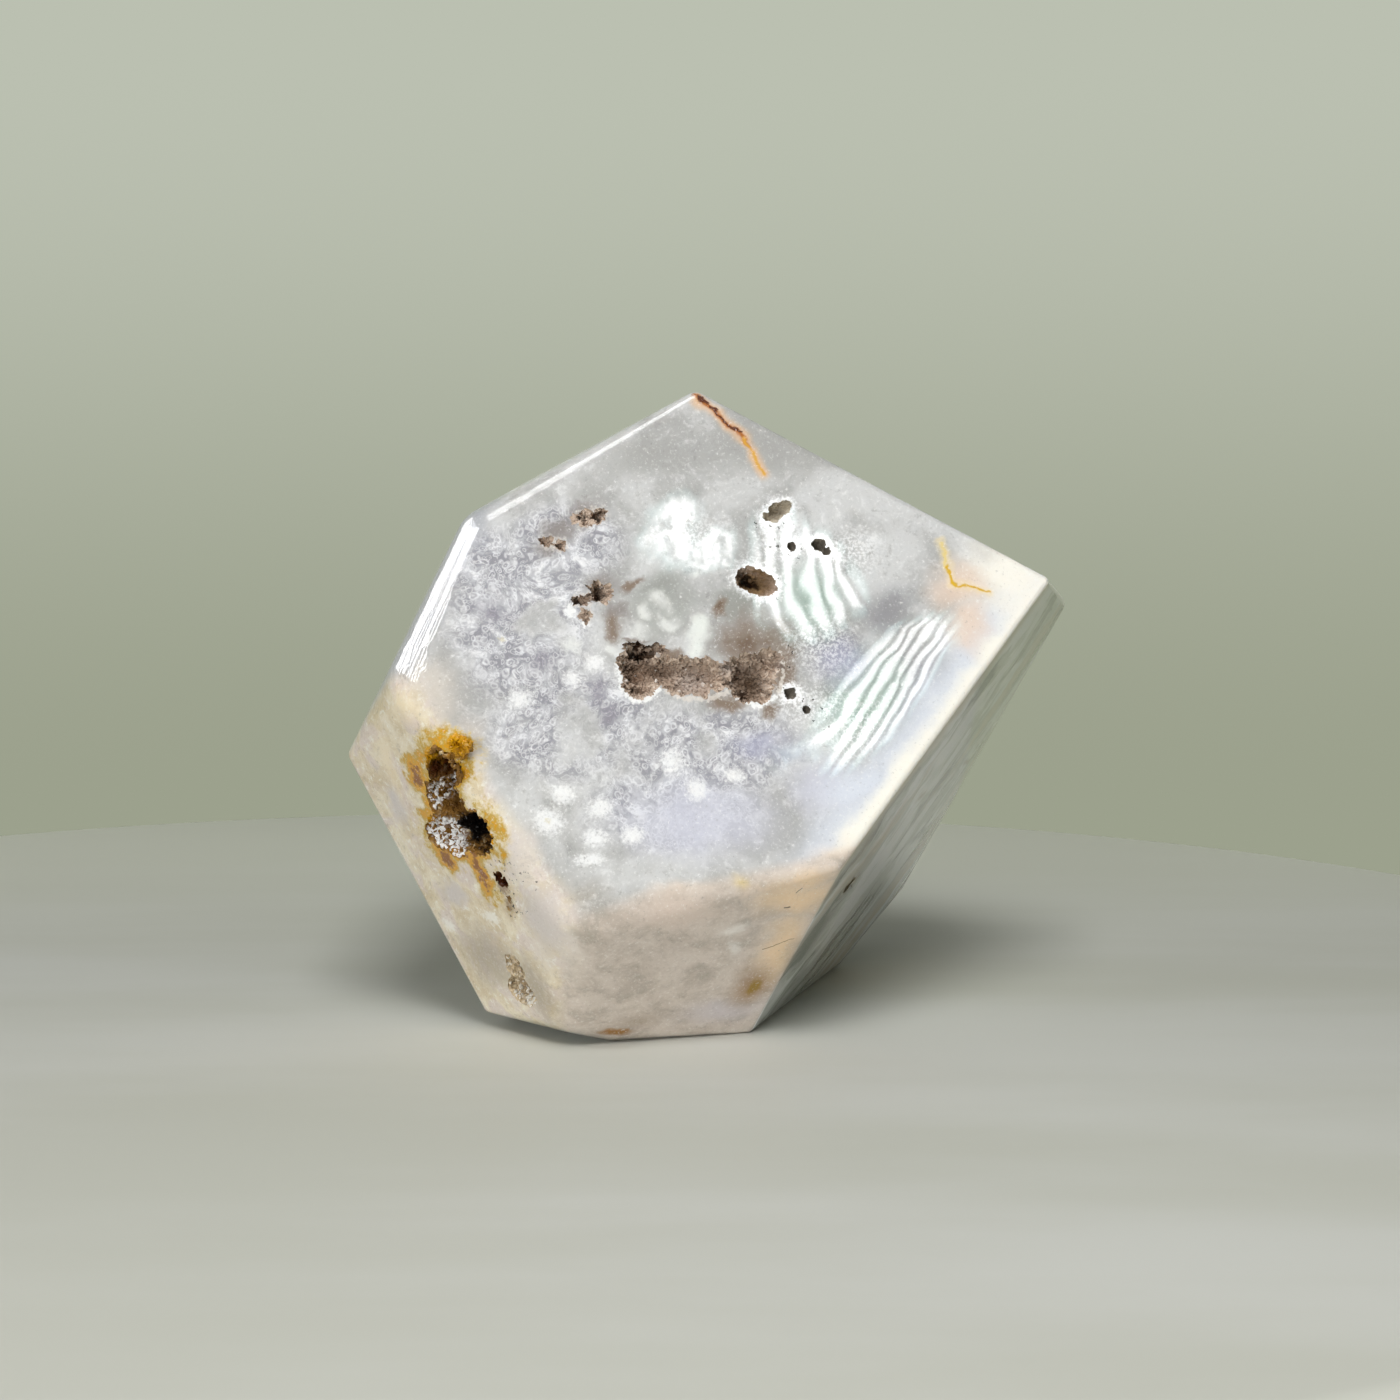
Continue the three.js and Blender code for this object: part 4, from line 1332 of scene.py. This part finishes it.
@dataclass
class PaleStoneTop(Finish):
    """Honed pale stone: matt, faintly clouded, with a weak satin reflection."""

    title: str = "honed_pale_stone"

    def material(self) -> bpy.types.Material:
        """Builds the table's material."""
        place = self.start()
        drift = self.add("Mapping", {"Vector": place, "Scale": (0.006, 0.02, 0.02)})
        colour = self.cloud_over(drift.outputs[0], "C6C7BC", TABLE_DRIFTS)
        depth = self.add("SeparateXYZ", {0: place}).outputs[1]
        colour = self.blend(colour, "EBEEDD", depth, 10.0, 150.0)
        return self.close({"Base Color": colour, "Roughness": 0.5, "IOR": 1.5, "Specular IOR Level": 0.12})


class Use(Enum):
    """What a light is there for: everything, lighting the matt surfaces, or being mirrored in the polish."""

    ALL = (True, True)
    LIGHTING = (True, False)
    MIRRORED = (False, True)

    def set_on(self, lamp: Piece) -> None:
        """Hides a light from the kinds of ray that it isn't for, and from the camera."""
        lamp.visible_camera = False
        lamp.visible_diffuse, lamp.visible_glossy = self.value


@dataclass
class SoftBox(Painter):
    """A plain soft light that faces the stone, with or without bars before it. Its sizes are in metres."""

    name: str
    at: Triple
    size: Pair
    power: float
    aim: Triple = (0.0, 0.0, 0.033)
    use: Use = Use.ALL
    bar_spacing: float = 0.0
    bars_along: Triple = (0.0, 0.0, 1.0)

    def hang(self) -> None:
        """Puts the light in its place, out of the camera's sight."""
        bpy.ops.object.select_all(action="DESELECT")
        bpy.ops.object.light_add(type="AREA", location=self.at)
        lamp = bpy.context.object
        lamp.name = self.name
        towards = Vector(self.aim) - Vector(self.at)
        lamp.rotation_euler = towards.to_track_quat("-Z", "Y").to_euler()
        lamp.data.shape = "RECTANGLE"
        lamp.data.size, lamp.data.size_y = self.size
        lamp.data.energy = self.power
        self.use.set_on(lamp)
        if self.bar_spacing:
            self.set_bars(lamp.data, Vector(self.bars_along).cross(towards).normalized())

    def set_bars(self, lamp: bpy.types.AreaLight, across: Vector) -> None:
        """Puts bars before the light, so that a rounded edge mirrors it as a sheaf of lines.

        Args:
            lamp: The light.
            across: The direction across the bars.
        """
        self.open(lamp)
        spot = self.add("NewGeometry").outputs["Position"]
        run = self.add("VectorMath", {0: spot, 1: across / self.bar_spacing}, operation="DOT_PRODUCT")
        saw = self.add("Math", {0: run.outputs["Value"], 1: 0.5}, operation="PINGPONG")
        lit = self.add("MapRange", {"Value": saw, "From Min": 0.2, "From Max": 0.36, "To Min": 0.0,
                                    "To Max": 1.0})
        self.add("OutputLight", {"Surface": self.add("Emission", {"Strength": lit})})


@dataclass
class GlintBank(Painter):
    """A light behind a slatted screen, which the window facet mirrors towards the camera in wavy bands.

    Its place and width are in metres, and its slats in millimetres, but the fan's in degrees.
    """

    at: Triple = (0.1753, -0.504, 0.364)
    towards: Triple = (0.007, -0.0262, 0.0426)
    width: float = 0.3
    power: float = 4.0
    arc_centre: Pair = (-99.5, 26.0)
    arc_spacing: float = 6.6
    fan_centre: Pair = (-168.0, 141.0)
    fan_spacing: float = 1.9

    def frame_here(self) -> Matrix:
        """Gives the screen's own frame: across to the stone's left, up, and towards the stone."""
        out = (Vector(self.towards) - Vector(self.at)).normalized()
        across = Vector((0.0, 0.0, 1.0)).cross(out).normalized()
        axes = Matrix((across, out.cross(across), out)).transposed().to_4x4()
        return Matrix.Translation(Vector(self.at)) @ axes

    def opening(self, place: Socket, at: Pair, size: Pair, turn: float, softness: float) -> Socket:
        """Draws one soft-edged oval opening.

        Args:
            place: The place on the screen in millimetres.
            at: The opening's middle.
            size: Its half sizes.
            turn: Its turn in degrees.
            softness: The share of it over which it fades.

        Returns:
            One inside, nought outside.
        """
        local = self.add("Mapping", {
            "Vector": place, "Location": (*at, 0.0), "Rotation": (0.0, 0.0, math.radians(turn)),
            "Scale": (*size, 1e6),
        }, vector_type="TEXTURE")
        span = self.add("VectorMath", {0: local}, operation="LENGTH").outputs["Value"]
        return self.add("MapRange", {
            "Value": span, "From Min": 1.0, "From Max": 1.0 - softness, "To Min": 0.0, "To Max": 1.0,
        }, interpolation_type="SMOOTHSTEP").outputs[0]

    def gaps(self, place: Socket, centre: Pair, spacing: float, fan: bool) -> Socket:
        """Draws a row of bright gaps between slats.

        Args:
            place: The place on the screen in millimetres.
            centre: Where the gaps fan out from, or bend round.
            spacing: The distance from gap to gap, in degrees for a fan and otherwise in millimetres.
            fan: Whether the gaps fan out.

        Returns:
            One in the gaps, nought behind the slats.
        """
        local = self.add("VectorMath", {0: place, 1: (*centre, 0.0)}, operation="SUBTRACT")
        axes = self.add("SeparateXYZ", {0: local}).outputs
        if fan:
            run = self.add("Math", {0: axes[1], 1: axes[0]}, operation="ARCTAN2")
            spacing = math.radians(spacing)
        else:
            flat = self.add("CombineXYZ", {0: axes[0], 1: axes[1]})
            run = self.add("VectorMath", {0: flat}, operation="LENGTH")
        turns = self.add("Math", {0: run.outputs["Value"], 1: 1 / spacing}, operation="MULTIPLY")
        saw = self.add("Math", {0: turns, 1: 0.5}, operation="PINGPONG")
        return self.add("MapRange", {
            "Value": saw, "From Min": 0.1, "From Max": 0.3, "To Min": 0.0, "To Max": 1.0,
        }, interpolation_type="SMOOTHSTEP").outputs[0]

    def hang(self) -> None:
        """Puts the light in its place with its screen."""
        frame_here = self.frame_here()
        bpy.ops.object.select_all(action="DESELECT")
        bpy.ops.object.light_add(type="AREA", location=self.at)
        lamp = bpy.context.object
        lamp.name = "glint_bank"
        lamp.rotation_euler = (frame_here @ Matrix.Rotation(math.pi, 4, "Y")).to_euler()
        lamp.data.shape = "SQUARE"
        lamp.data.size = self.width
        lamp.data.energy = self.power
        Use.MIRRORED.set_on(lamp)
        self.open(lamp.data)
        spot = self.add("NewGeometry").outputs["Position"]
        place = self.add("Mapping", {
            "Vector": spot, "Location": frame_here.to_translation(), "Rotation": frame_here.to_euler("XYZ"),
            "Scale": (MM, MM, MM),
        }, vector_type="TEXTURE").outputs[0]
        wavy = self.bend(place, 0.03, 6.0, 3.0)
        torn = self.bend(place, 0.07, 22.0, 4.0)
        arcs = self.gaps(wavy, self.arc_centre, self.arc_spacing, False)
        rays = self.gaps(wavy, self.fan_centre, self.fan_spacing, True)
        dapple = self.add("TexNoise", {"Vector": torn, "Scale": 0.14, "Detail": 7.0, "Roughness": 0.85})
        dapple = self.add("MapRange", {"Value": dapple, "From Min": 0.45, "From Max": 0.53, "To Min": 0.05,
                                       "To Max": 1.0})
        # bent gaps above, a fan of gaps to the right, and bare openings for the glare
        parts = (
            (self.opening(wavy, (-9, 31), (25, 38), 0, 0.4), arcs, 1.0),
            (self.opening(wavy, (-42, -30), (28, 46), 42, 0.45), rays, 1.0),
            (self.opening(torn, (46, 60), (16, 20), 30, 0.8), dapple, 1.5),
            (self.opening(torn, (28, 48), (18, 10), -20, 0.8), dapple, 1.4),
            (self.opening(torn, (-8, -46), (26, 9), -20, 0.8), dapple, 0.5),
        )
        total: Any = 0.0
        for shape, pattern, strength in parts:
            lit = self.add("Math", {0: shape, 1: pattern}, operation="MULTIPLY")
            total = self.add("Math", {0: lit, 1: strength, 2: total}, operation="MULTIPLY_ADD")
        tint = self.blend("9BD9D6", "FFFFFF", total, 0.1, 0.8)
        self.add("OutputLight", {"Surface": self.add("Emission", {"Color": tint, "Strength": total})})


@dataclass
class Studio(Painter):
    """The camera, the pale round table, the plain wall colour and the lights. Its sizes are in metres."""

    camera_at: Triple = (-0.0023, -0.28343, 0.058)
    camera_pitch: float = 4.8
    lens: float = 36 * 2500 / 1400
    table_centre: Pair = (-0.0276, 0.0118)
    table_radius: float = 0.157
    table_thickness: float = 0.03
    table_edge: float = 0.004
    wall_colours: tuple[str, str] = ("9CA18D", "BBC0B1")
    room_colour: str = "DDDEDB"
    room_light: float = 0.15
    lights: tuple[SoftBox, ...] = (
        SoftBox("ceiling_bank", (0.02, -0.42, 0.48), (0.22, 0.22), 2.6, use=Use.LIGHTING),
        SoftBox("fill_bank", (-0.28, -0.8, 0.12), (0.25, 0.2), 3.2, use=Use.LIGHTING),
        SoftBox("left_bank", (-0.5, 0.0, 0.36), (0.9, 0.3), 9.0, use=Use.MIRRORED, bar_spacing=0.085,
                bars_along=(0.395, 0.335, 0.849)),
        SoftBox("top_bank", (-0.09, -0.02, 0.5), (0.2, 0.2), 1.6, use=Use.MIRRORED, bar_spacing=0.045,
                bars_along=(0.817, 0.258, 0.452)),
    )
    glint: GlintBank = field(default_factory=GlintBank)

    def place_camera(self) -> None:
        """Puts the camera at the photograph's viewing angle."""
        tilt = math.radians(90 - self.camera_pitch)
        bpy.ops.object.camera_add(location=self.camera_at, rotation=(tilt, 0.0, 0.0))
        camera = bpy.context.object
        camera.data.lens = self.lens
        camera.data.sensor_width = 36.0
        camera.data.clip_start = 0.01
        bpy.context.scene.camera = camera

    def set_table(self) -> None:
        """Makes the table top, a disc with a rounded rim, just under the stone."""
        bpy.ops.object.select_all(action="DESELECT")
        bpy.ops.mesh.primitive_cylinder_add(
            vertices=192, radius=self.table_radius, depth=self.table_thickness,
            location=(*self.table_centre, -self.table_thickness / 2))
        table = bpy.context.object
        table.name = "pale_table_top"
        bpy.ops.object.transform_apply(location=True, rotation=True, scale=True)
        bpy.ops.object.modifier_add(type="BEVEL")
        bevel = table.modifiers[-1]
        bevel.width = self.table_edge
        bevel.segments = 4
        bevel.angle_limit = math.radians(60)
        bpy.ops.object.modifier_apply(modifier=bevel.name)
        bpy.ops.object.shade_smooth_by_angle(angle=math.radians(30))
        table.data.materials.append(PaleStoneTop().material())

    def paint_wall(self) -> None:
        """Gives the plain wall its colour and the room its even light."""
        world = bpy.data.worlds.new("plain_wall")
        bpy.context.scene.world = world
        self.open(world)
        path = self.add("LightPath").outputs
        seen = self.add("Math", {0: path["Is Camera Ray"], 1: path["Is Glossy Ray"]}, operation="MAXIMUM")
        sight = self.add("TexCoord").outputs["Generated"]
        height = self.add("SeparateXYZ", {0: sight}).outputs[2]
        shade = self.blend(*self.wall_colours, height, -0.12, 0.17)
        wall = self.add("Background", {"Color": shade, "Strength": 1.0})
        room = self.add("Background", {"Color": linear(self.room_colour), "Strength": self.room_light})
        self.add("OutputWorld", {"Surface": self.add("MixShader", {0: seen, 1: room, 2: wall})})
        bpy.context.scene.view_settings.view_transform = "Standard"

    def build(self) -> None:
        """Sets up the whole studio."""
        self.place_camera()
        self.set_table()
        self.paint_wall()
        for light in (*self.lights, self.glint):
            light.hang()


DRUSES = (
    (Druse("central_vug_druse", "smoky_druse", CENTRAL_VUG, 1500, (0.09, 0.26)), SMOKY_QUARTZ),
    (Druse("smoky_pocket_druse", "smoky_druse", SMOKY_POCKET, 800, (0.08, 0.2)), SMOKY_QUARTZ),
    (Druse("upper_pocket_druse", "smoky_druse", UPPER_POCKET, 600, (0.08, 0.2)), SMOKY_QUARTZ),
    (Druse("eye_vug_druse", "smoky_druse", EYE_VUG, 900, (0.08, 0.18)), SMOKY_QUARTZ),
    (Druse("iron_vug_druse", "iron_stained_druse", IRON_VUG, 4600, (0.09, 0.26), stretch=(2.0, 5.0)),
     IRON_QUARTZ),
    (Druse("foot_pocket_druse", "clear_druse", FOOT_POCKET, 500, (0.14, 0.34)), CLEAR_QUARTZ),
)


@dataclass
class Stone:
    """The whole stone: the polished body and the druses in its hollows."""

    body: AgateBody

    def seat(self, piece: Piece, node: str) -> None:
        """Tells the frame what a piece moves with and stands for."""
        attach(piece, "root")
        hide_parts(node)
        LOG.info("%s: %d faces in place of %s", piece.name, len(piece.data.polygons), node)

    @staticmethod
    def coat(cutter: Piece, wall: bpy.types.Material) -> None:
        """Gives a cutter the material of the wall that it leaves."""
        cutter.data.materials.clear()
        cutter.data.materials.append(wall)
        cutter.data.polygons.foreach_set("material_index", [0] * len(cutter.data.polygons))

    def build(self) -> None:
        """Makes the body and the druses and dresses them."""
        crystal = QuartzPoint().build()
        materials = {finish.title: finish.material()
                     for finish in (SMOKY_QUARTZ, IRON_QUARTZ, CLEAR_QUARTZ, PIT_WALL)}
        cutters = []
        for druse, finish in DRUSES:
            cutter = HollowCutter(druse.hollow, druse.node + "_cutter").build()
            piece = druse.build(cutter, crystal)
            piece.data.materials.append(materials[finish.title])
            self.seat(piece, druse.node)
            self.coat(cutter, materials[finish.title])
            cutters.append(cutter)
        walls = {Facet.LOWER_LEFT: IRON_QUARTZ, Facet.RIGHT: CLEAR_QUARTZ}
        for pit in PITS:
            wall = PIT_WALL if pit in ROUND_PITS else walls.get(pit.facet, SMOKY_QUARTZ)
            cutter = HollowCutter(pit, "pit_cutter").build()
            self.coat(cutter, materials[wall.title])
            cutters.append(cutter)
        self.body.polish = PolishedChalcedony().material()
        stone = self.body.build(cutters)
        self.seat(stone, self.body.node)


def main() -> None:
    """Builds the studio and the stone."""
    logging.basicConfig(level=logging.INFO, format="%(message)s")
    Studio().build()
    Stone(AgateBody()).build()


if __name__ == "__main__":
    main()
